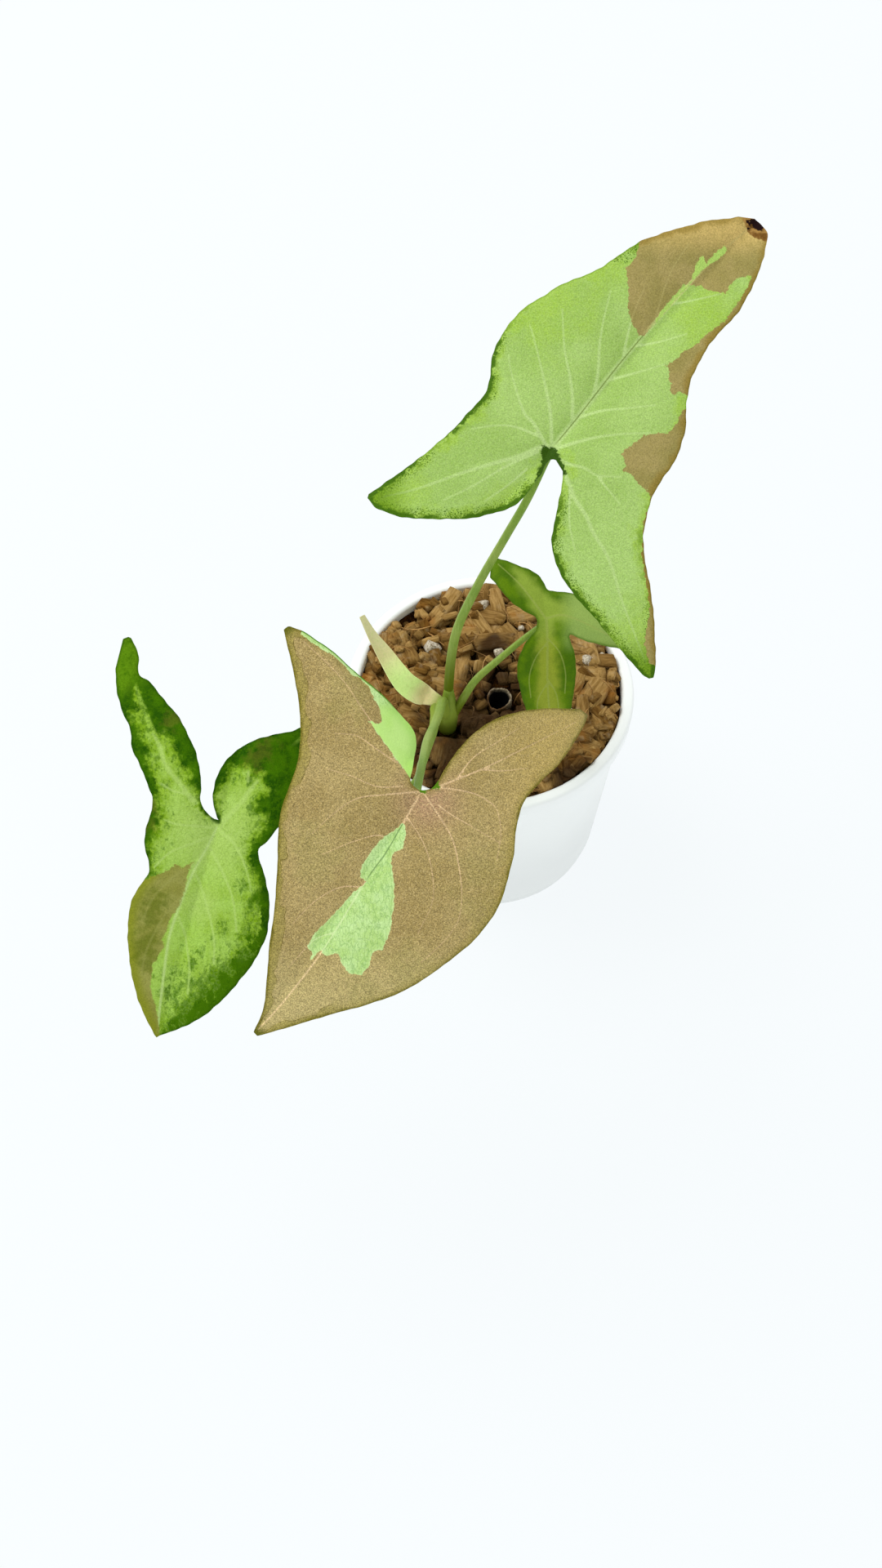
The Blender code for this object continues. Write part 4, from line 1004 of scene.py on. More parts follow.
def tall_green(p, edge, vein, gone, t):
    """Light green with pale veins and a dark flecked margin."""
    vivid = p.rise(p.sum(p.read("vivid"), p.uneven(5.0, 0.25, 3.0)), -0.1, 1.0)
    margin = p.rise(p.sum(edge, p.uneven(3.0, 1.4)), 3.2, 0.4)
    fade = p.rise(gone, 0.0, 1.0, 0.75, 0.4)
    rib = p.times(p.rise(p.read("rib"), 0.06, 0.2, 0.7, 0.0), p.rise(t, 0.5, 2.5), p.rise(t, 28.0, 24.0))
    speck = p.times(p.rise(p.read("speck"), 0.0, 0.5), p.rise(edge, 3.0, 0.2))
    frayed = p.sum(p.read("rim"), p.uneven(1.6, 0.7, 3.0))
    rim = p.sum(edge, p.rise(frayed, -0.2, 0.9, 0.18, 1.1), "DIVIDE")
    outer = p.times(p.rise(rim, 1.1, 0.6, 0.0, 0.95), p.rise(p.read("rim"), -0.1, 0.35))
    return p.layers(
        p.blend(11.0, (160, 193, 100), (172, 204, 114)),
        # Painted light: the lower lobes lightened to cancel the shade that their droop gets.
        ((184, 218, 126), p.rise(t, -6.0, -26.0, 0.0, 0.6)),
        ((162, 198, 72), p.sum(vivid, margin, "MAXIMUM"), 0.75),
        ((142, 184, 78), p.threads(1.3, 0.05), 0.3),
        ((186, 214, 140), p.net(0.8, 0.06), 0.14),
        ((196, 222, 146), p.rise(vein, 0.4, 2.8, 1.0, 0.0), fade),
        ((112, 130, 50), rib),
        ((112, 150, 34), p.rise(p.read("deep"), 0.0, 0.8), 0.85),
        ((76, 112, 16), p.flecks(0.27, speck), 0.85),
        ((116, 154, 34), p.rise(rim, 2.2, 0.8, 0.0, 0.5)),
        ((70, 108, 12), outer),
    )


def tall_tan(p, edge, vein, t):
    """Tan, lighter towards the tip and browner along the edge."""
    far = p.sum(edge, p.uneven(4.0, 0.5))
    outer = p.times(p.rise(edge, 0.5, 0.05, 0.0, 0.6), p.rise(t, 40.0, 34.0))
    return p.layers(
        p.blend(7.0, (158, 146, 86), (172, 156, 98)),
        ((212, 184, 112), p.rise(t, 38.5, 46.5)),
        ((134, 118, 62), p.net(0.8, 0.07), 0.12),
        ((142, 130, 68), p.threads(1.4, 0.05), 0.3),
        ((192, 180, 116), p.rise(vein, 0.3, 2.2, 1.0, 0.0), 0.3),
        ((148, 124, 52), p.rise(far, 1.7, 0.2, 0.0, 0.7)),
        ((112, 98, 32), outer),
    )


def tall_husk(p):
    """The dead brown tip, charred at its end."""
    char = p.sum(p.read("charred"), p.uneven(0.7, 0.25, 3.0))
    return p.lay(p.rise(char, 0.0, 0.3), p.blend(1.6, (120, 84, 40), (172, 134, 74)), (40, 26, 14))


def paint_tall():
    """Light green with tan patches, dark flecked margins and a dead tip."""
    p = Paint("light_green_blade", 0.55, 0.08, GAINS["tall"])
    edge, vein, gone, t = (p.read(k) for k in ("edge", "vein", "gone", "t"))
    base = p.mix(p.jagged(p.read("tan"), 1.0, 0.32, 0.06), tall_green(p, edge, vein, gone, t),
                 tall_tan(p, edge, vein, t))
    strip = p.times(p.rise(p.read("rib"), 0.2, 0.45, 1.0, 0.0), p.rise(t, 23.0, 27.0), p.rise(t, 38.0, 34.0))
    base = p.layers(
        base,
        ((204, 206, 130), strip, 0.8),
        ((180, 214, 108), p.jagged(p.read("green"), 0.9, 0.2, 0.07)),
        ((58, 88, 10), p.jagged(p.read("joint"), 0.7, 0.3, 0.2)),
    )
    base = p.mix(p.jagged(p.read("dead"), 1.2, 0.3, 0.12), base, tall_husk(p))
    leaf_relief(p, 0.9, 0.08)
    return p.done(p.grain(base, 0.26, 0.18))


def front_tan(p, edge, gone, thin, s, t):
    """Tan with thin cream-pink veins and an olive border at the left."""
    olive = p.sum(p.read("olive"), p.uneven(4.0, 0.3, 3.0))
    inner = p.sum(edge, p.rise(p.noise(7.0), 0.3, 0.7, 0.4, 2.6), "SUBTRACT")
    left_side = p.rise(s, -15.0, -21.0)
    collar = p.times(p.rise(p.sum(inner, 0.0, "ABSOLUTE"), 0.03, 0.13, 0.75, 0.0), left_side,
                     p.rise(p.noise(2.0), 0.38, 0.52))
    broken = p.rise(p.noise(1.6), 0.3, 0.5, 0.55, 1.0)
    rib_line = p.times(p.rise(p.read("rib"), 0.08, 0.26, 0.8, 0.0), p.rise(t, -24.0, -30.0))
    edge_wave = p.sum(edge, p.uneven(4.0, 0.2))
    return p.layers(
        p.blend(9.0, (162, 142, 90), (174, 154, 102)),
        ((188, 174, 118), p.rise(t, -26.0, -44.0, 0.0, 0.8)),
        ((192, 168, 100), p.rise(s, 10.0, 27.0, 0.0, 0.95)),
        ((152, 148, 84), p.rise(olive, 0.0, 0.8, 0.0, 0.3)),
        ((178, 140, 114), p.rise(p.read("pink"), 0.0, 1.0, 0.0, 0.7)),
        ((206, 184, 130), p.threads(0.7, 0.05), 0.45),
        ((130, 106, 62), p.threads(0.5, 0.045), 0.45),
        ((146, 134, 62), p.rise(edge, 2.2, 0.4, 0.0, 0.35)),
        ((142, 134, 56), p.rise(inner, 0.3, -0.3), left_side, 0.4),
        ((104, 92, 40), collar),
        ((212, 182, 138), thin, p.rise(gone, 0.1, 1.0, 0.9, 0.45), broken),
        ((222, 196, 146), rib_line),
        ((104, 98, 26), p.rise(edge_wave, 0.7, 0.05, 0.0, 0.75)),
        ((88, 92, 18), p.rise(p.read("corner"), 0.1, 0.8, 0.0, 0.85)),
    )


def front_mint(p, edge, thin, t):
    """Mint green with a fine lengthwise net."""
    long_net = p.spot((1.0, 0.4, 0.4))
    veins = p.rise(p.cells(0.75, p.pulled(0.75, long_net)), 0.03, 0.09, 1.0, 0.0)
    rib = p.times(p.rise(p.read("rib"), 0.05, 0.2, 0.7, 0.0), p.rise(t, -20.0, -17.0))
    return p.layers(
        p.blend(4.0, (178, 212, 126), (192, 224, 150)),
        ((128, 170, 96), veins, 0.5),
        ((212, 238, 176), p.threads(0.9, 0.05), 0.3),
        ((92, 124, 70), rib),
        ((216, 234, 172), thin, p.rise(t, -17.0, -21.0), 0.6),
        ((212, 234, 164), p.rise(p.read("mint"), 0.4, 0.0, 0.0, 0.4)),
        ((84, 132, 36), p.rise(edge, 0.34, 0.12), p.rise(t, 12.0, 15.0)),
    )


def paint_front():
    """Grained tan with thin cream-pink veins and clear mint-green areas."""
    p = Paint("tan_blade", 0.6, 0.08, GAINS["front"])
    edge, gone, s, t = (p.read(k) for k in ("edge", "gone", "s", "t"))
    thin = p.rise(p.read("vein"), 0.3, 1.3, 1.0, 0.0)
    tan = p.grain(p.grain(front_tan(p, edge, gone, thin, s, t), 0.24, 0.4), 0.6, 0.10)
    mint = p.grain(front_mint(p, edge, thin, t), 0.3, 0.10)
    base = p.mix(p.jagged(p.read("mint"), 1.1, 0.2, 0.06), tan, mint)
    # Painted shade: the turned sector darker green towards its edge.
    clear = p.lay(p.rise(edge, 2.6, 0.1, 0.0, 0.45), p.blend(6.0, (184, 226, 122), (192, 230, 134)),
                  (150, 206, 84))
    turned = p.times(p.rise(p.read("turned"), -0.06, 0.06), p.rise(t, 18.5, 14.5))
    base = p.mix(turned, base, p.grain(clear, 0.4, 0.02))
    joint = p.sum(p.read("joint"), p.uneven(0.6, 0.2))
    base = p.lay(p.rise(joint, 0.1, 0.4), base, (84, 124, 30))
    leaf_relief(p, 0.7, 0.12)
    return p.done(base)


def left_green(p, edge, vein, t, pale):
    """Pale green middle and deep green, torn and mottled margins."""
    fray = p.sum(p.rise(p.noise(0.8, 3.0, 0.6), 0.25, 0.75, -0.5, 0.5), p.uneven(3.0, 0.6))
    rags = p.rise(p.noise(1.8, 5.0, 0.7, p.spot((1.0, 0.6, 0.6))), 0.36, 0.64, -2.2, 3.0)
    torn = p.times(rags, p.rise(t, -10.0, -24.0))
    depth = p.sum(p.sum(pale, fray), torn)
    dark = p.blend(3.0, (46, 84, 4), (72, 116, 14), 0.35, 0.7)
    fresh = p.blend(1.2, (126, 166, 40), (148, 186, 60))
    lime = p.blend(5.0, (156, 192, 76), (164, 202, 90))
    base = p.mix(p.rise(depth, -0.8, 0.5), dark, fresh)
    inner = p.sum(pale, p.uneven(2.2, 1.4, 3.0))
    base = p.mix(p.rise(inner, 0.6, 3.6), base, lime)
    streaks = p.noise(1.1, 3.0, 0.6, p.spot((1.0, 0.22, 0.22)))
    lit = p.rise(depth, 0.0, 1.5)
    narrow = p.times(p.rise(p.sum(vein, fray), 0.8, 4.4, 0.85, 0.0), p.rise(t, 15.0, 18.0),
                     p.rise(t, 28.5, 25.0))
    low = p.times(p.rise(t, -17.0, -34.0, 0.0, 0.42), p.rise(p.read("rib"), 0.5, 4.0))
    margin = p.sum(p.rise(pale, 5.0, 0.0, 0.0, 0.42), low)
    share = p.sum(margin, p.rise(p.read("blotch"), -1.2, 0.8, 0.0, 0.55), "MAXIMUM")
    halo = p.rise(p.sum(vein, p.uneven(1.2, 0.5)), 0.3, 3.4, 0.6, 0.0)
    rib = p.times(p.rise(p.read("rib"), 0.1, 0.34, 0.6, 0.0), p.rise(pale, -0.5, 0.5))
    return p.layers(
        base,
        ((136, 176, 38), p.rise(streaks, 0.48, 0.68), lit, 0.45),
        ((174, 204, 108), p.rise(p.read("near"), 0.0, 0.9), lit, 0.75),
        ((156, 194, 76), narrow),
        ((98, 140, 32), p.rise(p.read("fresh"), 0.0, 0.6), 0.9),
        ((68, 110, 10), p.mottle(1.7, share, p.spot((1.0, 0.6, 0.6))), 0.8),
        ((76, 116, 14), p.mottle(0.7, share), 0.65),
        ((118, 156, 44), p.threads(1.1, 0.06), lit, 0.3),
        ((184, 214, 124), p.net(0.8, 0.06), lit, 0.10),
        ((180, 210, 116), halo, lit),
        ((190, 216, 136), rib),
        ((42, 74, 6), p.rise(edge, 0.7, 0.1, 0.0, 0.45)),
    )


def left_tan(p, edge, vein):
    """Olive-brown with darker smudges and a greener edge."""
    smudge = p.sum(p.read("smudge"), p.uneven(1.4, 0.3, 3.0))
    return p.layers(
        p.blend(4.0, (146, 146, 72), (154, 154, 82)),
        ((134, 142, 40), p.rise(edge, 2.8, 0.5, 0.0, 0.8)),
        ((92, 108, 30), p.rise(smudge, -0.1, 0.9, 0.0, 0.65)),
        ((168, 168, 96), p.rise(vein, 0.4, 3.6, 0.25, 0.0)),
        ((120, 124, 52), p.threads(0.9, 0.06), 0.3),
    )


def paint_left():
    """Pale green middle, deep green mottled margins and one olive-brown side."""
    p = Paint("deep_green_blade", 0.7, 0.02, GAINS["left"])
    edge, vein, t, pale = (p.read(k) for k in ("edge", "vein", "t", "pale"))
    base = p.mix(p.jagged(p.read("tan"), 0.9, 0.3, 0.2), left_green(p, edge, vein, t, pale),
                 left_tan(p, edge, vein))
    rust = p.sum(p.read("rust"), p.uneven(1.6, 0.4, 3.0))
    base = p.layers(
        base,
        ((106, 104, 44), p.rise(rust, 0.0, 0.9, 0.0, 0.4)),
        ((44, 78, 8), p.rise(p.read("joint"), 0.1, 0.7, 0.0, 0.9)),
    )
    leaf_relief(p, 0.9, 0.09)
    return p.done(p.grain(base, 0.28, 0.12))


def paint_back():
    """Green with a paler olive band along the middle of each lobe."""
    p = Paint("green_blade", 0.55, 0.08, GAINS["back"])
    s, t = p.read("s"), p.read("t")
    dark = p.blend(4.0, (76, 110, 12), (98, 130, 22))
    depth = p.sum(p.read("pale"), p.uneven(3.0, 0.5))
    band = p.mix(p.rise(t, -8.0, 0.0), p.tone(154, 166, 58), p.tone(146, 168, 68))
    base = p.layers(
        p.mix(p.rise(depth, -2.0, 0.8, 0.0, 0.9), dark, band),
        ((156, 182, 98), p.rise(s, 2.0, 7.0), p.rise(t, -8.0, -4.0), 0.8),
        ((160, 172, 92), p.rise(p.read("vein"), 0.5, 1.8, 0.45, 0.0)),
        ((70, 100, 14), p.rise(p.read("edge"), 0.7, 0.1, 0.0, 0.6)),
    )
    leaf_relief(p, 0.8, 0.09)
    return p.done(p.grain(base, 0.3, 0.09))


def paint_underside(name, colour, patch_zone, patch_colour):
    """The duller lower face, with its veins standing out paler."""
    p = Paint(name, 0.6, 0.2)
    base = p.blend(8.0, colour, tuple(v + 12 for v in colour))
    if patch_zone:
        base = p.lay(p.jagged(p.read(patch_zone), 1.0, 0.3, 0.3), base, patch_colour)
    base = p.layers(
        base,
        ((190, 206, 160), p.net(0.9, 0.05), 0.25),
        ((192, 206, 158), p.rise(p.read("vein"), 0.7, 2.2, 0.75, 0.0)),
    )
    leaf_relief(p, 0.9, 0.07)
    return p.done(p.grain(base, 0.35, 0.08))


UPPER_FACES = {"tall": paint_tall, "front": paint_front, "left": paint_left, "back": paint_back}
LOWER_FACES = {
    "tall": ((150, 180, 112), "tan", (150, 136, 98)),
    "front": ((142, 138, 100), "mint", (152, 186, 126)),
    "left": ((112, 146, 78), "pale", (150, 178, 112)),
    "back": ((112, 150, 72), None, None),
}


def paint_stalk():
    """Smooth green skin with fine lengthwise streaks, olive at the foot, with painted shade darkening the
    foot.
    """
    p = Paint("stalk_skin", 0.45, 0.15, GAINS["stalk"])
    share = p.read("share")
    streak = p.noise(0.5, at=p.spot((1.0, 1.0, 0.08)))
    base = p.layers(
        p.blend(9.0, (112, 138, 54), (128, 148, 66)),
        ((150, 168, 88), p.rise(streak, 0.45, 0.7, 0.0, 0.35)),
        ((118, 152, 56), p.rise(share, 0.7, 1.0, 0.0, 0.6)),
        ((112, 124, 36), p.rise(share, 0.30, 0.05, 0.0, 0.6)),
        # Painted shade: the lower part darker on the shaded stalks, and the very foot darker on every stalk
        # and on the sheath.
        ((86, 98, 22), p.rise(share, 0.36, 0.16), p.read("dim"), 0.9),
        ((58, 66, 16), p.rise(share, 0.10, 0.02, 0.0, 0.8)),
    )
    p.bump(streak, 0.05, 0.4)
    return p.done(p.grain(base, 0.4, 0.06))


def paint_crown():
    """Olive green stem, dark brown towards the mix."""
    p = Paint("crown_skin", 0.65, 0.1, GAINS["stalk"])
    height = p.node("ShaderNodeSeparateXYZ", {"Vector": p.node("ShaderNodeTexCoord").outputs["Object"]})
    level = p.sum(height.outputs["Z"], p.uneven(2.0, MM))
    up = p.rise(level, MM * (CROWN_TOP - 7.0), MM * (CROWN_TOP - 1.0))
    rings = p.noise(0.8, 3.0, at=p.spot((0.2, 0.2, 1.0)))
    bark = p.mix(p.rise(rings, 0.35, 0.65), p.tone(46, 34, 14), p.tone(84, 72, 30))
    green = p.blend(2.5, (78, 94, 26), (104, 124, 40))
    p.bump(rings, 0.25, 0.7)
    return p.done(p.mix(up, bark, green))


def paint_young():
    """Cream ends, light green middle and a green foot."""
    p = Paint("young_leaf", 0.55, 0.12, GAINS["young"])
    share = p.read("share")
    middle = p.times(p.rise(share, 0.34, 0.46), p.rise(share, 0.74, 0.52))
    streak = p.noise(0.6, at=p.spot((1.0, 1.0, 0.1)))
    base = p.layers(
        p.blend(4.0, (214, 206, 150), (222, 216, 162)),
        ((209, 233, 149), middle, p.rise(p.noise(5.0), 0.3, 0.6, 0.7, 1.0)),
        ((216, 194, 148), p.rise(share, 0.42, 0.30, 0.0, 0.6)),
        ((122, 144, 50), p.rise(share, 0.30, 0.18)),
        ((186, 181, 136), p.rise(share, 0.60, 0.95, 0.0, 0.9)),
        ((176, 196, 112), p.rise(streak, 0.5, 0.75, 0.0, 0.3)),
    )
    p.bump(streak, 0.08, 0.5)
    return p.done(p.grain(base, 0.4, 0.05))


def shaded_brown(p, colour):
    """Painted shade: the mix darkened round the crown and the pit and under the leaves."""
    mix_shade_mask = p.sum(p.read("mix_shade"), p.uneven(5.0, 0.25, 3.0))
    return p.mix(p.rise(mix_shade_mask, -0.1, 0.7, 0.0, 0.88), colour, p.tone(48, 34, 14))


def paint_chips():
    """Golden brown husk and bark chips, each with its own tone and a fibrous grain."""
    p = Paint("husk_chips", 0.85, 0.12, GAINS["mix"])
    along = p.read_vector("grain")
    tone = p.read("tone")
    fibre = p.noise(0.55, 3.0, 0.6, at=p.spot((0.16, 1.0, 1.0), along))
    dark = p.mix(tone, p.tone(76, 50, 20), p.tone(130, 100, 54))
    light = p.mix(tone, p.tone(122, 90, 44), p.tone(178, 144, 90))
    base = p.layers(
        p.mix(p.rise(fibre, 0.25, 0.75), dark, light),
        ((150, 98, 42), p.rise(p.noise(8.0), 0.54, 0.70, 0.0, 0.55)),
        ((168, 150, 118), p.rise(p.noise(2.5, 3.0), 0.55, 0.75, 0.0, 0.35)),
    )
    p.bump(fibre, 0.35, 0.7)
    p.bump(p.noise(0.35, 3.0), 0.15, 0.6)
    # The chips are darkened by painted shade round the crown and under the leaves.
    return p.done(shaded_brown(p, base), p.rise(fibre, 0.3, 0.7, 0.95, 0.75))


def paint_bed():
    """Dark crumb between the chips."""
    p = Paint("mix_bed", 0.95, 0.1, GAINS["mix"])
    crumb = p.noise(0.9, 5.0, 0.7)
    base = p.mix(p.rise(crumb, 0.35, 0.7), p.tone(34, 20, 9), p.tone(84, 54, 24))
    p.bump(crumb, 0.8, 0.9)
    return p.done(base)


def paint_fibres():
    """Golden brown husk fibre."""
    p = Paint("husk_fibres", 0.7, 0.15, GAINS["mix"])
    base = p.mix(p.read("tone"), p.tone(104, 68, 30), p.tone(190, 148, 92))
    # The fibres are darkened by painted shade in the same places.
    return p.done(p.grain(shaded_brown(p, base), 0.5, 0.2))


def paint_grains():
    """Pale mineral grains."""
    p = Paint("pale_grains", 0.9, 0.1, GAINS["mix"])
    pits = p.noise(0.5, 3.0)
    base = p.mix(p.rise(pits, 0.3, 0.6), p.tone(128, 112, 88), p.tone(196, 186, 166))
    p.bump(pits, 0.3, 0.8)
    return p.done(base)


def paint_stub():
    """Grey-beige husk with painted shade: brown on its low, unlit side and black inside the hollow."""
    p = Paint("old_stub", 0.9, 0.1, GAINS["mix"])
    rough = p.noise(0.8, 4.0, 0.65)
    base = p.layers(
        p.mix(p.rise(rough, 0.35, 0.65), p.tone(112, 96, 74), p.tone(172, 158, 134)),
        # Painted shade: brown on the unlit side.
        ((84, 54, 26), p.rise(p.read("lit"), 0.5, -0.6, 0.0, 0.85)),
        # Painted shade: the inside of the hollow painted black.
        ((12, 8, 5), p.read("deep")),
    )
    p.bump(rough, 0.4, 0.8)
    return p.done(base)


def paint_pot(settings):
    """White moulded plastic with a very faint texture, with painted shade darkening it a little towards the
    foot.
    """
    p = Paint("white_plastic", settings.roughness, 0.45)
    base = p.mix(p.rise(p.noise(18.0, 3.0), 0.35, 0.7, 0.0, 0.35), tuple(settings.colour),
                 tuple(v * 0.96 for v in settings.colour))
    # Painted shade: the wall darkened towards the foot.
    foot_shade = p.rise(p.read("height"), POT_SHADE_FROM, POT_SHADE_TO)
    base = p.mix(foot_shade, base, tuple(v * POT_SHADE_SHARE for v in settings.colour))
    p.bump(p.noise(1.2), 0.03, 0.35)
    p.bump(p.noise(14.0, 1.0), 0.25, 0.25)
    return p.done(base, p.rise(p.noise(6.0, 3.0), 0.3, 0.7, settings.roughness, settings.roughness + 0.12))


# Pot

def rounded(profile, radius, pieces):
    """A profile with its corners rounded by a small arc."""
    profile = np.array(profile)
    smooth = [profile[0]]
    for before, corner, after in zip(profile, profile[1:], profile[2:]):
        reach = min(radius, 0.45 * np.linalg.norm(before - corner), 0.45 * np.linalg.norm(after - corner))
        start = corner + (before - corner) / np.linalg.norm(before - corner) * reach
        end = corner + (after - corner) / np.linalg.norm(after - corner) * reach
        for i in range(pieces + 1):
            u = i / pieces
            smooth.append((1 - u) ** 2 * start + 2 * u * (1 - u) * corner + u ** 2 * end)
    smooth.append(profile[-1])
    return np.array(smooth)


def turned(profile, segments):
    """Points and faces of a profile turned round the upright axis."""
    points = [ring_at(radius, z, even_turns(segments)) for radius, z in profile]
    return np.vstack(points), flipped(ring_quads(len(profile), segments))


def pot_wall(z):
    """Outside radius of the pot's wall at a height."""
    share = (z - FOOT_STEP) / (POT_HEIGHT - RIM_DEPTH - FOOT_STEP)
    return WALL_FOOT_RADIUS + (WALL_TOP_RADIUS - WALL_FOOT_RADIUS) * share


def pot_inside(z):
    """Inside radius of the pot's wall at a height."""
    return pot_wall(z) - WALL


def make_pot(settings):
    """Wall, rim and foot in one turned piece, and the floor with its drain holes."""
    lip = POT_HEIGHT - RIM_DEPTH
    inside = pot_inside(FLOOR)
    outline = (
        (inside - 0.6, FLOOR), (inside, FLOOR), (pot_inside(20.0), 20.0),
        (pot_inside(POT_HEIGHT), POT_HEIGHT - 0.5), (pot_inside(POT_HEIGHT) + 0.6, POT_HEIGHT),
        (RIM_RADIUS - 0.5, POT_HEIGHT), (RIM_RADIUS, POT_HEIGHT - 0.6), (RIM_RADIUS - 0.15, lip + 0.5),
        (RIM_RADIUS - 0.8, lip), (WALL_TOP_RADIUS, lip), (pot_wall(lip - 2.0), lip - 2.0),
        (pot_wall(20.0), 20.0), (WALL_FOOT_RADIUS, FOOT_STEP), (FOOT_RADIUS, FOOT_STEP - 0.6),
        (FOOT_RADIUS, 0.7), (FOOT_RADIUS - 0.7, 0.0), (FOOT_RADIUS - 2.6, 0.0),
        (FOOT_RADIUS - 3.0, 0.5), (inside - 0.6, 0.5),
    )
    profile = rounded(outline, 0.45, 3)
    points, faces = turned(profile, settings.segments)
    last = (len(profile) - 1) * settings.segments
    faces += [(last + j, j, (j + 1) % settings.segments, last + (j + 1) % settings.segments)
              for j in range(settings.segments)]
    finish = paint_pot(settings)
    wall = new_piece("pot_wall", points, faces, [finish])
    floor = make_pot_floor(inside - 0.5, finish)
    for piece in (wall, floor):
        give(piece, "height", [v.co.z / MM for v in piece.data.vertices])
        piece.data.set_sharp_from_angle(angle=POT_SHARP)
        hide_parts("pot")


def make_pot_floor(radius, finish):
    """The floor plate with its round drain holes."""
    rings = [ring_at(radius, 0.0, even_turns(POT_FLOOR_SIDES))[:, :2]]
    for angle in even_turns(DRAIN_HOLES):
        middle = (DRAIN_RING * math.cos(angle), DRAIN_RING * math.sin(angle))
        rings.append(ring_at(DRAIN_RADIUS, 0.0, even_turns(DRAIN_SIDES), middle)[:, :2])
    sides = []
    for ring in rings:
        first = len(sides)
        sides += [(first + i, first + (i + 1) % len(ring)) for i in range(len(ring))]
    found = delaunay_2d_cdt([Vector(p) for p in np.vstack(rings)], sides, [], 1, 1e-6)
    flat = np.array([tuple(p) for p in found[0]])
    middles = np.array([flat[list(f)].mean(axis=0) for f in found[2]])
    cut = np.any([inside_ring(middles, ring) for ring in rings[1:]], axis=0)
    faces = [f for f, gone in zip(found[2], cut) if not gone]
    points = np.vstack([np.column_stack((flat, np.full(len(flat), z))) for z in (FLOOR, FLOOR_UNDER)])
    return new_piece("pot_floor", points, slab_faces(faces, len(flat)), [finish])


# Potting mix

def mound(x, y):
    """Height of the mix before the chips."""
    share = np.hypot(x, y) / pot_inside(POT_HEIGHT)
    return MIX_LEVEL + MIX_MOUND * (1.0 - share ** 2)


def random_place(draw, limit):
    """A place drawn evenly from a circle of a radius."""
    reach = math.sqrt(draw.random()) * limit
    angle = draw.uniform(0.0, math.tau)
    return reach * math.cos(angle), reach * math.sin(angle)


def lay_chips():
    """Places, turns and sizes of the large chips, as in the solid mix."""
    draw = random.Random(CHIP_SEED)
    chips = []
    for _ in range(CHIP_COUNT):
        x, y = random_place(draw, pot_inside(POT_HEIGHT) - 1.0)
        chips.append({
            "x": x,
            "y": y,
            "turn": draw.uniform(0.0, math.pi),
            "length": draw.uniform(*CHIP_LENGTH),
            "width": draw.uniform(*CHIP_WIDTH),
            "rise": draw.uniform(*CHIP_RISE),
            "slope": (draw.uniform(-CHIP_SLOPE, CHIP_SLOPE), draw.uniform(-CHIP_SLOPE, CHIP_SLOPE)),
        })
    return chips


def random_shift(draw):
    """A shift that gives a chip a grain of its own."""
    return np.array([draw.uniform(-50.0, 50.0) for _ in range(3)])


def lump_noise(points, draw, waves):
    """A smooth wobble made of a few seeded waves."""
    total = np.zeros(len(points))
    for _ in range(waves):
        way = np.array([draw.gauss(0.0, 1.0) for _ in range(3)])
        total += np.sin(points @ way * 2.4 + draw.uniform(0.0, math.tau)) / waves
    return total


def chip_form(cuts):
    """A cube with each side split, as points on a rounded box, and its faces."""
    n = cuts + 1
    points = []
    index = {}
    faces = []

    def corner(p):
        """Number of a corner point, which neighbouring faces share."""
        key = tuple(round(v * n) for v in p)
        if key not in index:
            index[key] = len(points)
            points.append(tuple(2.0 * v / n - 1.0 for v in key))
        return index[key]

    for axis in range(3):
        a, b = (axis + 1) % 3, (axis + 2) % 3
        for end in (0, 1):
            for i in range(n):
                for j in range(n):
                    quad = []
                    for di, dj in ((0, 0), (1, 0), (1, 1), (0, 1)):
                        p = [0.0, 0.0, 0.0]
                        p[axis] = float(end)
                        p[a] = (i + di) / n
                        p[b] = (j + dj) / n
                        quad.append(corner(p))
                    faces.append(tuple(quad if end else reversed(quad)))
    return np.array(points), faces


def shaped_chip(form, size, draw, rough):
    """A rounded, broken-edged chip of a size about its own middle."""
    square = 0.55 + 0.25 * draw.random()
    ball = form / np.linalg.norm(form, axis=1)[:, None]
    shape = form * square + ball * (1.0 - square)
    shape = shape * (1.0 + rough * lump_noise(form, draw, 6)[:, None])
    taper = 1.0 - 0.35 * draw.random() * (shape[:, :1] + 1.0) / 2.0
    shape = np.column_stack((shape[:, 0], shape[:, 1] * taper[:, 0], shape[:, 2]))
    return shape * np.array(size) / 2.0


def turn_matrix(turn, slope_x, slope_y):
    """Axes of a chip that is turned about the upright and then tilted by two slopes."""
    along = np.array((math.cos(turn), math.sin(turn), slope_x))
    across = np.array((-math.sin(turn), math.cos(turn), slope_y))
    along /= np.linalg.norm(along)
    up = np.cross(along, across)
    up /= np.linalg.norm(up)
    return np.stack((along, np.cross(up, along), up))


def random_axes(draw, slope):
    """Axes of a chip turned and tilted at random."""
    return turn_matrix(draw.uniform(0.0, math.tau), draw.uniform(-slope, slope), draw.uniform(-slope, slope))


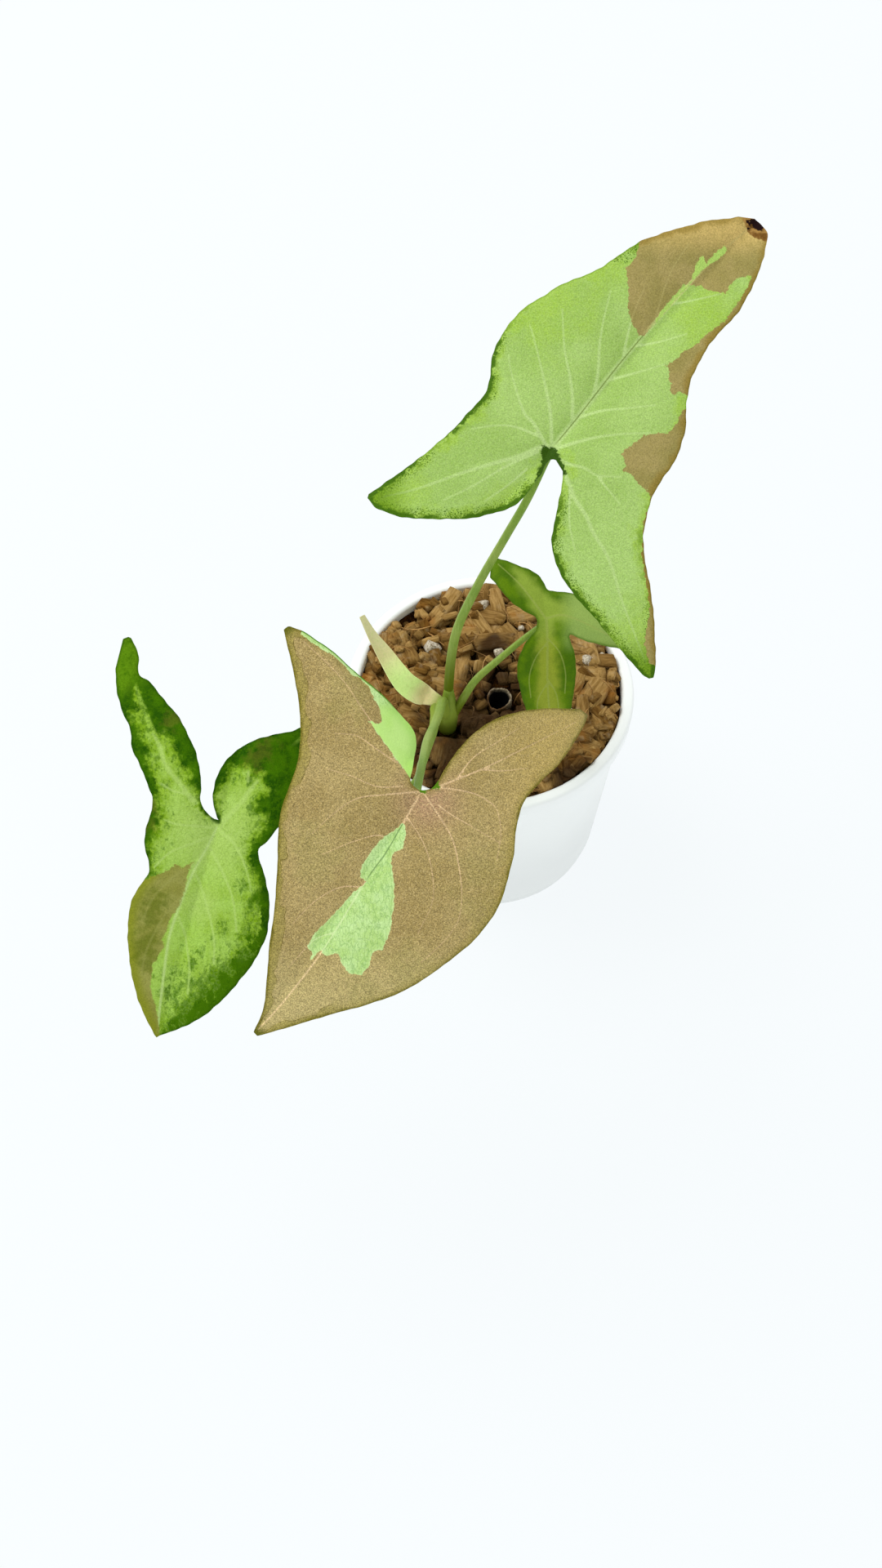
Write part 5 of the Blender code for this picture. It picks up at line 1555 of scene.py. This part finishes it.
class Heap:
    """Gathers many small forms into one piece with their grain and tone."""

    def __init__(self):
        self.points = []
        self.faces = []
        self.grain = []
        self.tone = []
        self.count = 0

    def add(self, shape, faces, axes, place, tone, shift):
        """One form, turned and placed."""
        self.points.append(shape @ axes + np.array(place))
        self.faces += [tuple(i + self.count for i in f) for f in faces]
        self.grain.append(shape + shift)
        self.tone.append(np.full(len(shape), tone))
        self.count += len(shape)

    def piece(self, name, finish):
        """Make the whole heap as one piece of the mix."""
        made = new_piece(name, np.vstack(self.points), self.faces, [finish])
        layer = made.data.attributes.new("grain", "FLOAT_VECTOR", "POINT")
        layer.data.foreach_set("vector", (np.vstack(self.grain) * MM).astype(np.float32).ravel())
        give(made, "tone", np.concatenate(self.tone))
        x, y, z = np.vstack(self.points).T
        # Painted shade: how far each point is darkened, near the listed places and low down between the
        # chips.
        mix_shade = [1.0 - np.hypot(x - a, y - b) / r for a, b, r in MIX_SHADE_PLACES]
        give(made, "mix_shade", np.max(mix_shade + [(CHIP_SHADE_LEVEL - z) / 3.0], axis=0))


def clear_of_crown(x, y, reach):
    """Whether a place is clear of the crown and of the pit."""
    crown = math.hypot(x - CROWN_PLACE[0], y - CROWN_PLACE[1]) > CROWN_RADIUS + reach
    pit = math.hypot(x - PIT_PLACE[0], y - PIT_PLACE[1]) > PIT_CLEAR + reach
    return crown and pit


def covers_pit(x, y, chip):
    """Whether a large chip would lie over the pit."""
    dx, dy = PIT_PLACE[0] - x, PIT_PLACE[1] - y
    along = dx * math.cos(chip["turn"]) + dy * math.sin(chip["turn"])
    across = dy * math.cos(chip["turn"]) - dx * math.sin(chip["turn"])
    past = max(0.0, abs(along) - chip["length"] / 2.0)
    return math.hypot(past, max(0.0, abs(across) - chip["width"] / 2.0)) < PIT_CLEAR


def add_large_chips(heap, draw, limit):
    """Large chips where the solid mix has them."""
    form, faces = chip_form(4)
    for chip in lay_chips():
        thick = draw.uniform(*CHIP_THICK)
        size = (chip["length"] * 1.05, chip["width"] * 1.08, thick)
        reach = math.hypot(chip["x"], chip["y"])
        pull = min(1.0, (limit - 0.42 * chip["length"]) / max(reach, 0.1))
        x, y = chip["x"] * pull, chip["y"] * pull
        if not clear_of_crown(x, y, 0.25 * chip["width"]) or covers_pit(x, y, chip):
            continue
        z = float(mound(x, y)) + chip["rise"] - thick / 2.0
        axes = turn_matrix(chip["turn"], *chip["slope"])
        shape = shaped_chip(form, size, draw, 0.10)
        shape = keep_in_pot(shape @ axes + np.array((x, y, z)), limit)
        heap.add((shape - (x, y, z)) @ axes.T, faces, axes, (x, y, z), draw.random(),
                 random_shift(draw))


def add_small_chips(heap, draw, limit, count):
    """Small chips between the large ones, every seventh along the pot's wall."""
    form, faces = chip_form(2)
    for i in range(count):
        near_wall = i % 7 == 0
        reach = limit - draw.uniform(1.2, 3.0) if near_wall else math.sqrt(draw.random()) * (limit - 1.0)
        angle = draw.uniform(0.0, math.tau)
        x, y = reach * math.cos(angle), reach * math.sin(angle)
        size = [draw.uniform(*sizes) for sizes in SMALL_CHIP_SIZE]
        if not clear_of_crown(x, y, 0.4 * size[0]):
            continue
        z = float(mound(x, y)) + draw.uniform(*SMALL_CHIP_RISE)
        axes = random_axes(draw, SMALL_CHIP_SLOPE)
        heap.add(shaped_chip(form, size, draw, 0.16), faces, axes, (x, y, z), draw.random(),
                 random_shift(draw))


def make_chips(settings):
    """Large and small chips in one piece."""
    draw = random.Random(settings.seed)
    heap = Heap()
    add_large_chips(heap, draw, pot_inside(MIX_LEVEL))
    add_small_chips(heap, draw, pot_inside(MIX_LEVEL), settings.small_chips)
    heap.piece("mix_chips", paint_chips())


def keep_in_pot(points, limit):
    """Points drawn in where they would pass through the pot's wall."""
    reach = np.hypot(points[:, 0], points[:, 1])
    squeeze = np.where(reach > limit, limit / np.maximum(reach, 1e-6), 1.0)
    return np.column_stack((points[:, 0] * squeeze, points[:, 1] * squeeze, points[:, 2]))


def make_bed(settings):
    """The dark crumb under the chips, down the inside of the pot."""
    top = pot_inside(MIX_LEVEL) - 0.05
    angles = even_turns(BED_SIDES)
    rings = [ring_at(top * 0.83, FLOOR + 0.4, angles), ring_at(top, MIX_LEVEL, angles)]
    draw = random.Random(settings.seed + 5)
    for radius in np.linspace(top, 0.0, BED_ROWS):
        x, y, _ = ring_at(radius, 0.0, angles).T
        away = np.hypot(x - PIT_PLACE[0], y - PIT_PLACE[1])
        level = mound(x, y) + 0.3 - PIT_DEPTH * smooth_step(1.3 - away / PIT_REACH)
        if 0.5 < radius < top - 0.5:
            level += np.array([draw.uniform(-BED_CRUMB, BED_CRUMB) for _ in angles]) - BED_DROP
        rings.append(ring_at(radius, level, angles))
    solid = ring_quads(len(rings), BED_SIDES) + [tuple(range(BED_SIDES - 1, -1, -1))]
    bed = new_piece("mix_bed", np.vstack(rings), solid, [paint_bed()])
    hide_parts("potting_mix")


def tube(line, radii, sides):
    """Points and faces of a tube along a line, closed at both ends."""
    axes = carried_axes(line, np.cross(headings(line)[0], (0.31, 0.95, 0.11)))
    points = [round_about(centre, radius, even_turns(sides), *pair)
              for centre, radius, pair in zip(line, radii, axes)]
    return np.vstack(points), ring_faces(len(line), sides)


def fibre_line(x, y, draw):
    """The middle line of a curly fibre that lies on the chips from a place."""
    length = draw.uniform(*FIBRE_LENGTH)
    heading = draw.uniform(0.0, math.tau)
    curl = draw.uniform(-FIBRE_CURL, FIBRE_CURL)
    lift = draw.uniform(0.0, FIBRE_LIFT)
    part = length / FIBRE_PARTS
    line = []
    for i in range(FIBRE_PARTS + 1):
        level = float(mound(x, y)) + 1.6 + lift * math.sin(math.pi * i / FIBRE_PARTS)
        line.append((x, y, level + draw.uniform(-0.2, 0.2)))
        x += math.cos(heading) * part
        y += math.sin(heading) * part
        heading += curl * 2.0 * part
    return smooth_run(line, length / 14.0)


def make_fibres(settings):
    """Loose curly husk fibres on and between the chips."""
    draw = random.Random(settings.seed + 9)
    heap = Heap()
    limit = pot_inside(MIX_LEVEL) - 2.0
    for _ in range(settings.fibres):
        x, y = random_place(draw, limit)
        if not clear_of_crown(x, y, 1.0):
            continue
        line = keep_in_pot(fibre_line(x, y, draw), limit + 1.5)
        radii = draw.uniform(*FIBRE_RADIUS) * (1.0 - 0.6 * np.abs(np.linspace(-1.0, 1.0, len(line))))
        points, faces = tube(line, radii, 5)
        heap.add(points, faces, np.eye(3), (0.0, 0.0, 0.0), draw.random(), np.zeros(3))
    heap.piece("mix_fibres", paint_fibres())


PALE_GRAIN_PLACES = ((-14.0, 11.5, 3.2), (-1.4, 25.5, 2.4), (2.2, 10.0, 2.0), (23.5, 8.0, 2.6))


def make_grains(settings):
    """A few pale mineral grains, the largest where the photograph shows them."""
    draw = random.Random(settings.seed + 21)
    heap = Heap()
    form, faces = chip_form(3)
    limit = pot_inside(MIX_LEVEL) - 2.0
    places = list(PALE_GRAIN_PLACES)
    for _ in range(settings.grains):
        places.append((*random_place(draw, limit), draw.uniform(*GRAIN_SIZE)))
    for x, y, size in places:
        if not clear_of_crown(x, y, 0.5):
            continue
        axes = random_axes(draw, GRAIN_SLOPE)
        shape = shaped_chip(form, (size * 1.15, size, size * 0.85), draw, 0.14)
        z = float(mound(x, y)) + draw.uniform(*GRAIN_RISE)
        heap.add(shape, faces, axes, (x, y, z), draw.random(), np.zeros(3))
    heap.piece("mix_grains", paint_grains())


STUB_SEED = 4
STUB_SIDES = 48
# Each ring: radius, height, and share of painted shade (black) for the hollow.
STUB_RINGS = ((3.0, -5.6, 0.0), (3.1, -0.8, 0.0), (3.0, 0.2, 0.0), (2.8, 0.5, 0.0), (2.5, 0.1, 0.6),
              (2.4, -0.8, 1.0), (2.3, -5.0, 1.0))


def make_pit_ring():
    """The pale broken ring round the dark pit: the end of an old hollow stub."""
    draw = random.Random(STUB_SEED)
    base = float(mound(*PIT_PLACE)) + 1.2
    angles = even_turns(STUB_SIDES)
    wobble = np.array([draw.uniform(-0.25, 0.25) for _ in angles])
    points = []
    deep = []
    for radius, z, dark in STUB_RINGS:
        rough = wobble if -1.0 < z else 0.0 * wobble
        height = base + z + rough + 0.7 * np.cos(angles - 0.9)
        reach = radius * (1.0 + 0.05 * np.sin(3.0 * angles + 1.0))
        points.append(ring_at(reach, height, angles, PIT_PLACE))
        deep += [dark] * STUB_SIDES
    solid = ring_faces(len(STUB_RINGS), STUB_SIDES)
    ring = new_piece("mix_stub", np.vstack(points), solid, [paint_stub()])
    # Painted shade: 'deep' marks the inner rings painted black; 'lit' runs from the shaded side to the lit
    # side.
    give(ring, "deep", deep)
    x, y, _ = np.vstack(points).T
    give(ring, "lit", (x - PIT_PLACE[0] + y - PIT_PLACE[1]) / 4.4)


# Crown, stalks and young leaf

STALKS = (
    ("stalk_tall", TALL, (0.0, 0.0), 60.0,
     ((-10.2, -10.6, 74.0), (-8.7, -11.6, 95.3), (-4.2, -13.2, 114.6), (1.5, -15.4, 134.3),
      (5.7, -16.0, 147.3)), 1.15, 0.85),
    ("stalk_front", FRONT, (-1.3, -1.2), 268.0,
     ((-11.4, -13.6, 71.6), (-11.9, -16.4, 75.2), (-12.4, -22.4, 80.2), (-13.4, -34.6, 92.9),
      (-15.0, -47.7, 105.6), (-15.9, -60.0, 115.3)), 1.15, 0.85),
    ("stalk_left", LEFT, (0.2, -1.2), 195.0,
     ((-13.4, -14.0, 69.8), (-13.4, -18.4, 72.4), (-13.8, -26.0, 78.2), (-15.1, -38.6, 89.4),
      (-16.1, -48.5, 98.2), (-17.8, -57.6, 104.0), (-26.0, -65.6, 107.4), (-39.0, -69.8, 109.5),
      (-49.5, -72.0, 111.6)), 1.15, 0.8),
    ("stalk_back", BACK, (0.0, 0.5), 350.0,
     ((-6.8, -11.4, 70.0), (-3.8, -10.8, 76.9), (1.5, -10.4, 84.5), (7.0, -9.0, 90.4)), 1.05, 0.7),
)
# Stalks whose lower part gets painted shade.
SHADED_STALKS = ("stalk_tall", "stalk_back")


def crown_foot(turn, share=1.0):
    """Where a stalk stands on the crown's top, or a share of the way out to there."""
    angle = math.radians(turn)
    reach = STALK_RING * share
    return np.array((CROWN_PLACE[0] + reach * math.cos(angle), CROWN_PLACE[1] + reach * math.sin(angle),
                     CROWN_TOP))


def stalk_line(blade, joins_at, turn, between, step):
    """The stalk's middle line, from inside the crown to the blade's lower face."""
    s, t = np.array([joins_at[0]]), np.array([joins_at[1]])
    foot = crown_foot(turn, STALK_FOOT_SHARE)
    top = blade.place(s, t, [-CAD_BLADE / 2.0])[0]
    below = blade.place(s, t, [-(CAD_BLADE / 2.0 + STALK_LEAD)])[0]
    sunk = crown_foot(turn, STALK_SUNK_SHARE) - np.array((0.0, 0.0, STALK_SUNK))
    line = smooth_run(np.vstack((sunk, foot, between, below)), step)
    end = smooth_run(np.vstack((below, top, top + (top - below) * 0.12)), step)[1:]
    return np.vstack((line, end))


def loft_stalk(line, radii, groove, wing, sides):
    """A stalk: round, with a shallow groove above and a sheath at its foot."""
    length = run_lengths(line)
    angles = even_turns(sides)
    off_top = np.minimum(angles, math.tau - angles)
    points = []
    axes = carried_axes(line, np.array((*(CROWN_PLACE - line[0][:2]), 0.0)))
    for centre, pair, radius, gone in zip(line, axes, radii, length):
        sheath = wing * float(smooth_step(1.0 - abs(gone - 7.0) / 7.0))
        dent = groove * np.exp(-(off_top / 0.45) ** 2)
        flare = sheath * np.exp(-((off_top - 1.05) / 0.38) ** 2)
        points.append(round_about(centre, radius * (1.0 - dent + flare), angles, *pair))
    return np.vstack(points), ring_faces(len(line), sides), length / length[-1]


def make_stalks(settings):
    """All leaf stalks, each a piece of its own."""
    finish = paint_stalk()
    for node, blade, joins_at, turn, between, foot_radius, top_radius in STALKS:
        line = stalk_line(blade, joins_at, turn, between, settings.step)
        share = np.linspace(0.0, 1.0, len(line))
        radii = foot_radius + (top_radius - foot_radius) * smooth_step(share * 1.1)
        radii = radii * (1.0 + STALK_SWELL * np.exp(-((share - STALK_SWELL_AT) / 0.018) ** 2))
        points, faces, shares = loft_stalk(line, radii, settings.groove, settings.sheath, settings.sides)
        stalk = new_piece(node + "_skin", points, faces, [finish])
        give(stalk, "share", np.repeat(shares, settings.sides))
        # Painted shade mask: 1 on the shaded stalks.
        give(stalk, "dim", np.full(len(points), float(node in SHADED_STALKS)))
        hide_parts(node)


CROWN_SEED = 7
CROWN_FOOT_RADIUS = 2.7
CROWN_NECK = 0.8
CROWN_ROUNDED = 0.9
CROWN_RINGS = 46.0
CROWN_LOBES = 5.0


def make_crown():
    """The slim ringed stem that the stalks grow from."""
    draw = random.Random(CROWN_SEED)
    levels = np.linspace(CROWN_LOW[2] + 1.0, CROWN_TOP - 1.0, CROWN_ROWS)
    angles = even_turns(CROWN_SIDES)
    points = []
    for z in levels:
        share = (z - levels[0]) / (levels[-1] - levels[0])
        radius = CROWN_FOOT_RADIUS - CROWN_NECK * float(smooth_step((share - 0.45) / 0.3))
        radius -= CROWN_ROUNDED * float(smooth_step((share - 0.9) / 0.1)) ** 2
        radius += 0.08 * math.sin(share * CROWN_RINGS)
        lobes = 0.08 * np.cos(angles * CROWN_LOBES + 1.0) * float(smooth_step(share * 2.0 - 1.0))
        wear = np.array([draw.uniform(-0.02, 0.02) for _ in angles])
        points.append(ring_at(radius * (1.0 + lobes) + wear, z, angles, CROWN_PLACE))
    solid = ring_faces(CROWN_ROWS, CROWN_SIDES)
    crown = new_piece("crown_stem", np.vstack(points), solid, [paint_crown()])
    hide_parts("crown")


# The first place stands a little off the crown's middle line, which gives the sheath a side to turn to it.
SHEATH_LINE = (
    ((0.0, 0.1, -6.0), 2.2),
    ((0.0, 0.0, -2.0), 2.5),
    ((0.0, -0.1, 0.6), 2.6),
    ((0.2, 0.1, 2.8), 2.25),
    ((0.3, 0.5, 5.0), 1.7),
    ((0.3, 0.8, 7.4), 1.3),
    ((0.3, 0.9, 9.0), 1.1),
)


def make_sheath(settings):
    """The clasping sheath that all stalks leave, tapering up the tallest one."""
    rows = smooth_run([(*place, radius) for place, radius in SHEATH_LINE], settings.step)
    line = rows[:, :3] + (*CROWN_PLACE, CROWN_TOP)
    points, faces, _ = loft_stalk(line, rows[:, 3], -0.08, 0.0, settings.sides * 2)
    sheath = new_piece("crown_sheath", points, faces, [paint_stalk()])
    give(sheath, "share", np.repeat(np.linspace(0.0, 0.16, len(line)), settings.sides * 2))


YOUNG_FOOT_TURN = 130.0
YOUNG_ACROSS = 11
YOUNG_TOWARDS = (0.02, -0.58, 0.81)
YOUNG_LINE = (
    ((-12.3, -11.8, 69.2), 2.2, 1.4, 0.3),
    ((-15.6, -10.2, 69.6), 4.6, 0.8, 1.2),
    ((-17.6, -10.4, 71.4), 6.4, 0.5, 1.8),
    ((-21.0, -9.6, 75.0), 6.2, 0.5, 2.0),
    ((-25.4, -5.9, 81.0), 4.5, 0.5, 2.2),
    ((-28.0, -3.6, 84.6), 2.4, 0.5, 1.8),
    ((-30.3, -0.8, 88.1), 1.2, 0.45, 0.6),
)


def roll_section(point, across, face, width, thick, roll):
    """A closed band section: an arc of the given width, bent round by the roll angle."""
    radius = width / max(roll, 0.05)
    centre = point + face * radius
    place = np.linspace(-1.0, 1.0, YOUNG_ACROSS)
    angle = place * roll / 2.0
    taper = 0.35 + 0.65 * np.sqrt(np.maximum(0.0, 1.0 - place ** 2))
    ray = np.sin(angle)[:, None] * across - np.cos(angle)[:, None] * face
    outer = centre + ray * (radius + thick * taper / 2.0)[:, None]
    inner = centre + ray * (radius - thick * taper / 2.0)[:, None]
    return np.vstack((outer, inner[::-1]))


def smoothed(rows, reach):
    """Each row's mean with its neighbours, the end rows held."""
    padded = np.vstack((np.repeat(rows[:1], reach, axis=0), rows, np.repeat(rows[-1:], reach, axis=0)))
    kernel = np.ones(2 * reach + 1) / (2 * reach + 1)
    return np.stack([np.convolve(column, kernel, "valid") for column in padded.T], axis=1)


def make_young(settings):
    """The half-rolled young leaf."""
    foot = crown_foot(YOUNG_FOOT_TURN)
    rows = [row[0] for row in YOUNG_LINE]
    line = np.vstack((foot - (0.0, 0.0, 2.0), foot + (0.0, 0.0, 1.5), rows))
    sizes = np.array([YOUNG_LINE[0][1:], YOUNG_LINE[0][1:]] + [row[1:] for row in YOUNG_LINE])
    marks = run_lengths(line)
    middle = smooth_run(line, settings.step)
    gone = np.linspace(0.0, marks[-1], len(middle))
    read = np.stack([np.interp(gone, marks, sizes[:, k]) for k in range(3)], axis=1)
    points = []
    for centre, way, (width, thick, roll) in zip(middle, headings(middle), smoothed(read, 4)):
        across = np.cross(way, YOUNG_TOWARDS)
        across /= np.linalg.norm(across)
        face = np.cross(across, way)
        points.append(roll_section(centre, across, face, width, thick, roll))
    sides = 2 * YOUNG_ACROSS
    young = new_piece("leaf_young_blade", np.vstack(points), ring_faces(len(middle), sides), [paint_young()])
    young.data.set_sharp_from_angle(angle=BLADE_SHARP)
    give(young, "share", np.repeat(gone / gone[-1], sides))
    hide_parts("leaf_young")


# Stage

FLOOR_REACH = 2600.0
FLOOR_FLAT = 1400.0
FLOOR_CURVE = 1100.0
FLOOR_RINGS = 26
FLOOR_SIDES = 64


def make_floor(settings):
    """A wide round pale floor whose far edge curves up on all sides."""
    points = [np.zeros((1, 3))]
    for reach in np.linspace(0.0, FLOOR_REACH, FLOOR_RINGS + 1)[1:]:
        lift = max(0.0, reach - FLOOR_FLAT) ** 2 / FLOOR_CURVE
        points.append(ring_at(reach, lift, even_turns(FLOOR_SIDES)))
    faces = [(0, 1 + i, 1 + (i + 1) % FLOOR_SIDES) for i in range(FLOOR_SIDES)]
    faces += flipped(ring_quads(FLOOR_RINGS, FLOOR_SIDES, 1))
    p = Paint("pale_floor", 0.8, 0.2)
    p.shader.inputs["Emission Strength"].default_value = 1.0
    p.shader.inputs["Emission Color"].default_value = (*settings.floor_glow, 1.0)
    base = p.mix(p.rise(p.noise(240.0, 1.0), 0.3, 0.7), tuple(settings.floor),
                 tuple(min(1.0, v * 1.01) for v in settings.floor))
    floor = new_mesh("floor", np.vstack(points), faces, [p.done(base)])


def make_light(name, place, aim, size, power):
    """A large soft square light."""
    data = bpy.data.lights.new(name, "AREA")
    data.shape = "SQUARE"
    data.size = size * MM
    data.energy = power
    lamp = new_object(name, data)
    lamp.location = Vector(place) * MM
    lamp.rotation_euler = (Vector(aim) - Vector(place)).to_track_quat("-Z", "Y").to_euler()


def make_camera():
    """The camera at the photograph's place and angle."""
    data = bpy.data.cameras.new("camera")
    data.lens = CAMERA_LENS
    data.clip_start = 0.01
    camera = new_object("camera", data)
    camera.location = Vector(CAMERA_PLACE) * MM
    camera.rotation_euler = (CAMERA_PITCH, 0.0, 0.0)
    bpy.context.scene.camera = camera


def make_world(settings):
    """Even white surroundings."""
    world = bpy.data.worlds.new("studio")
    world.use_nodes = True
    shade = world.node_tree.nodes["Background"]
    shade.inputs["Color"].default_value = (*settings.sky, 1.0)
    shade.inputs["Strength"].default_value = settings.sky_strength
    bpy.context.scene.world = world


# Settings

class PotSettings(bpy.types.PropertyGroup):
    colour: bpy.props.FloatVectorProperty(
        name="Plastic", description="Colour of the pot", subtype="COLOR", default=(0.925, 0.945, 0.925),
        min=0.0, max=1.0)
    roughness: bpy.props.FloatProperty(
        name="Roughness", description="Roughness of the pot's plastic", subtype="FACTOR", default=0.34,
        min=0.0, max=1.0)
    segments: bpy.props.IntProperty(
        name="Segments", description="Sides round the pot", default=192, min=24, max=512)


class MixSettings(bpy.types.PropertyGroup):
    seed: bpy.props.IntProperty(name="Seed", description="Seed of the small chips", default=31)
    small_chips: bpy.props.IntProperty(
        name="Small chips", description="Small chips between the large ones", default=760, min=0, max=2000)
    fibres: bpy.props.IntProperty(
        name="Fibres", description="Loose husk fibres", default=110, min=0, max=1000)
    grains: bpy.props.IntProperty(
        name="Pale grains", description="Small pale mineral grains", default=5, min=0, max=200)


class BladeSettings(bpy.types.PropertyGroup):
    step: bpy.props.FloatProperty(
        name="Mesh step", description="Side of a blade's triangles, in millimetres", default=0.55, min=0.3,
        max=4.0)
    thickness: bpy.props.FloatProperty(
        name="Thickness", description="Thickness of a blade, in millimetres", default=0.5, min=0.2, max=1.0)
    vein_height: bpy.props.FloatProperty(
        name="Vein height", description="Rise of a main vein, in millimetres", default=0.07, min=0.0, max=0.5)
    quilting: bpy.props.FloatProperty(
        name="Quilting", description="Depth of the trough along a main vein, in millimetres", default=0.16,
        min=0.0, max=1.0)


class StalkSettings(bpy.types.PropertyGroup):
    step: bpy.props.FloatProperty(
        name="Mesh step", description="Way between a stalk's rings, in millimetres", default=0.6, min=0.2,
        max=4.0)
    sides: bpy.props.IntProperty(name="Sides", description="Sides round a stalk", default=28, min=8, max=96)
    groove: bpy.props.FloatProperty(
        name="Groove", description="Depth of the groove as a share of the radius", subtype="FACTOR",
        default=0.16, min=0.0, max=0.6)
    sheath: bpy.props.FloatProperty(
        name="Sheath", description="Spread of the sheath at the foot as a share of the radius",
        subtype="FACTOR", default=0.14, min=0.0, max=1.0)


class StageSettings(bpy.types.PropertyGroup):
    floor: bpy.props.FloatVectorProperty(
        name="Floor", description="Colour of the floor", subtype="COLOR", default=(0.10, 0.10, 0.10),
        min=0.0, max=1.0)
    floor_glow: bpy.props.FloatVectorProperty(
        name="Floor glow", description="Light given off by the floor", subtype="COLOR",
        default=(0.825, 0.86, 0.875), min=0.0, max=1.0)
    sky: bpy.props.FloatVectorProperty(
        name="Surroundings", description="Colour of the surroundings", subtype="COLOR",
        default=(0.97, 0.99, 1.0), min=0.0, max=1.0)
    sky_strength: bpy.props.FloatProperty(
        name="Surroundings strength", description="Brightness of the surroundings", default=0.77, min=0.0)
    key_power: bpy.props.FloatProperty(
        name="Key light", description="Power of the main light", unit="POWER", default=10.0, min=0.0)


# Operators

class PLANT_OT_pot(bpy.types.Operator):
    """Make the pot"""
    bl_idname = "plant.pot"
    bl_label = "Pot"

    def execute(self, context):
        make_pot(context.scene.plant_pot)
        return {"FINISHED"}


class PLANT_OT_mix(bpy.types.Operator):
    """Make the potting mix"""
    bl_idname = "plant.mix"
    bl_label = "Potting mix"

    def execute(self, context):
        settings = context.scene.plant_mix
        make_bed(settings)
        make_chips(settings)
        make_fibres(settings)
        make_grains(settings)
        make_pit_ring()
        return {"FINISHED"}


class PLANT_OT_crown(bpy.types.Operator):
    """Make the crown and the stalks"""
    bl_idname = "plant.crown"
    bl_label = "Crown and stalks"

    def execute(self, context):
        make_crown()
        make_sheath(context.scene.plant_stalk)
        make_stalks(context.scene.plant_stalk)
        return {"FINISHED"}


class PLANT_OT_blades(bpy.types.Operator):
    """Make the four large blades"""
    bl_idname = "plant.blades"
    bl_label = "Blades"

    def execute(self, context):
        for name, blade in BLADES.items():
            finishes = (UPPER_FACES[name](), paint_underside(name + "_underside", *LOWER_FACES[name]))
            make_blade(blade, context.scene.plant_blade, finishes)
        return {"FINISHED"}


class PLANT_OT_young(bpy.types.Operator):
    """Make the half-rolled young leaf"""
    bl_idname = "plant.young"
    bl_label = "Young leaf"

    def execute(self, context):
        make_young(context.scene.plant_stalk)
        return {"FINISHED"}


class PLANT_OT_stage(bpy.types.Operator):
    """Make the floor, the light and the camera"""
    bl_idname = "plant.stage"
    bl_label = "Stage"

    def execute(self, context):
        settings = context.scene.plant_stage
        make_camera()
        make_world(settings)
        make_floor(settings)
        make_light("key", KEY_PLACE, KEY_AIM, KEY_SIZE, settings.key_power)
        context.scene.view_settings.view_transform = "Standard"
        return {"FINISHED"}


class PLANT_PT_panel(bpy.types.Panel):
    """Lists the plant's pieces"""
    bl_idname = "PLANT_PT_panel"
    bl_label = "Arrowhead plant"
    bl_space_type = "VIEW_3D"
    bl_region_type = "UI"
    bl_category = "Plant"

    def draw(self, context):
        for operator in OPERATORS:
            self.layout.operator(operator.bl_idname)


SETTINGS = {
    "plant_pot": PotSettings,
    "plant_mix": MixSettings,
    "plant_blade": BladeSettings,
    "plant_stalk": StalkSettings,
    "plant_stage": StageSettings,
}
OPERATORS = (PLANT_OT_stage, PLANT_OT_pot, PLANT_OT_mix, PLANT_OT_crown, PLANT_OT_blades, PLANT_OT_young)


def register():
    """Add the settings, the operators and the panel to Blender."""
    for name, group in SETTINGS.items():
        bpy.utils.register_class(group)
        setattr(bpy.types.Scene, name, bpy.props.PointerProperty(type=group))
    for cls in OPERATORS + (PLANT_PT_panel,):
        bpy.utils.register_class(cls)


def unregister():
    """Take them out again."""
    for cls in reversed(OPERATORS + (PLANT_PT_panel,)):
        bpy.utils.unregister_class(cls)
    for name, group in SETTINGS.items():
        delattr(bpy.types.Scene, name)
        bpy.utils.unregister_class(group)


def main():
    """Build the whole scene, piece by piece."""
    register()
    bpy.ops.plant.stage()
    bpy.ops.plant.pot()
    bpy.ops.plant.mix()
    bpy.ops.plant.crown()
    bpy.ops.plant.blades()
    bpy.ops.plant.young()


if __name__ == "__main__":
    main()
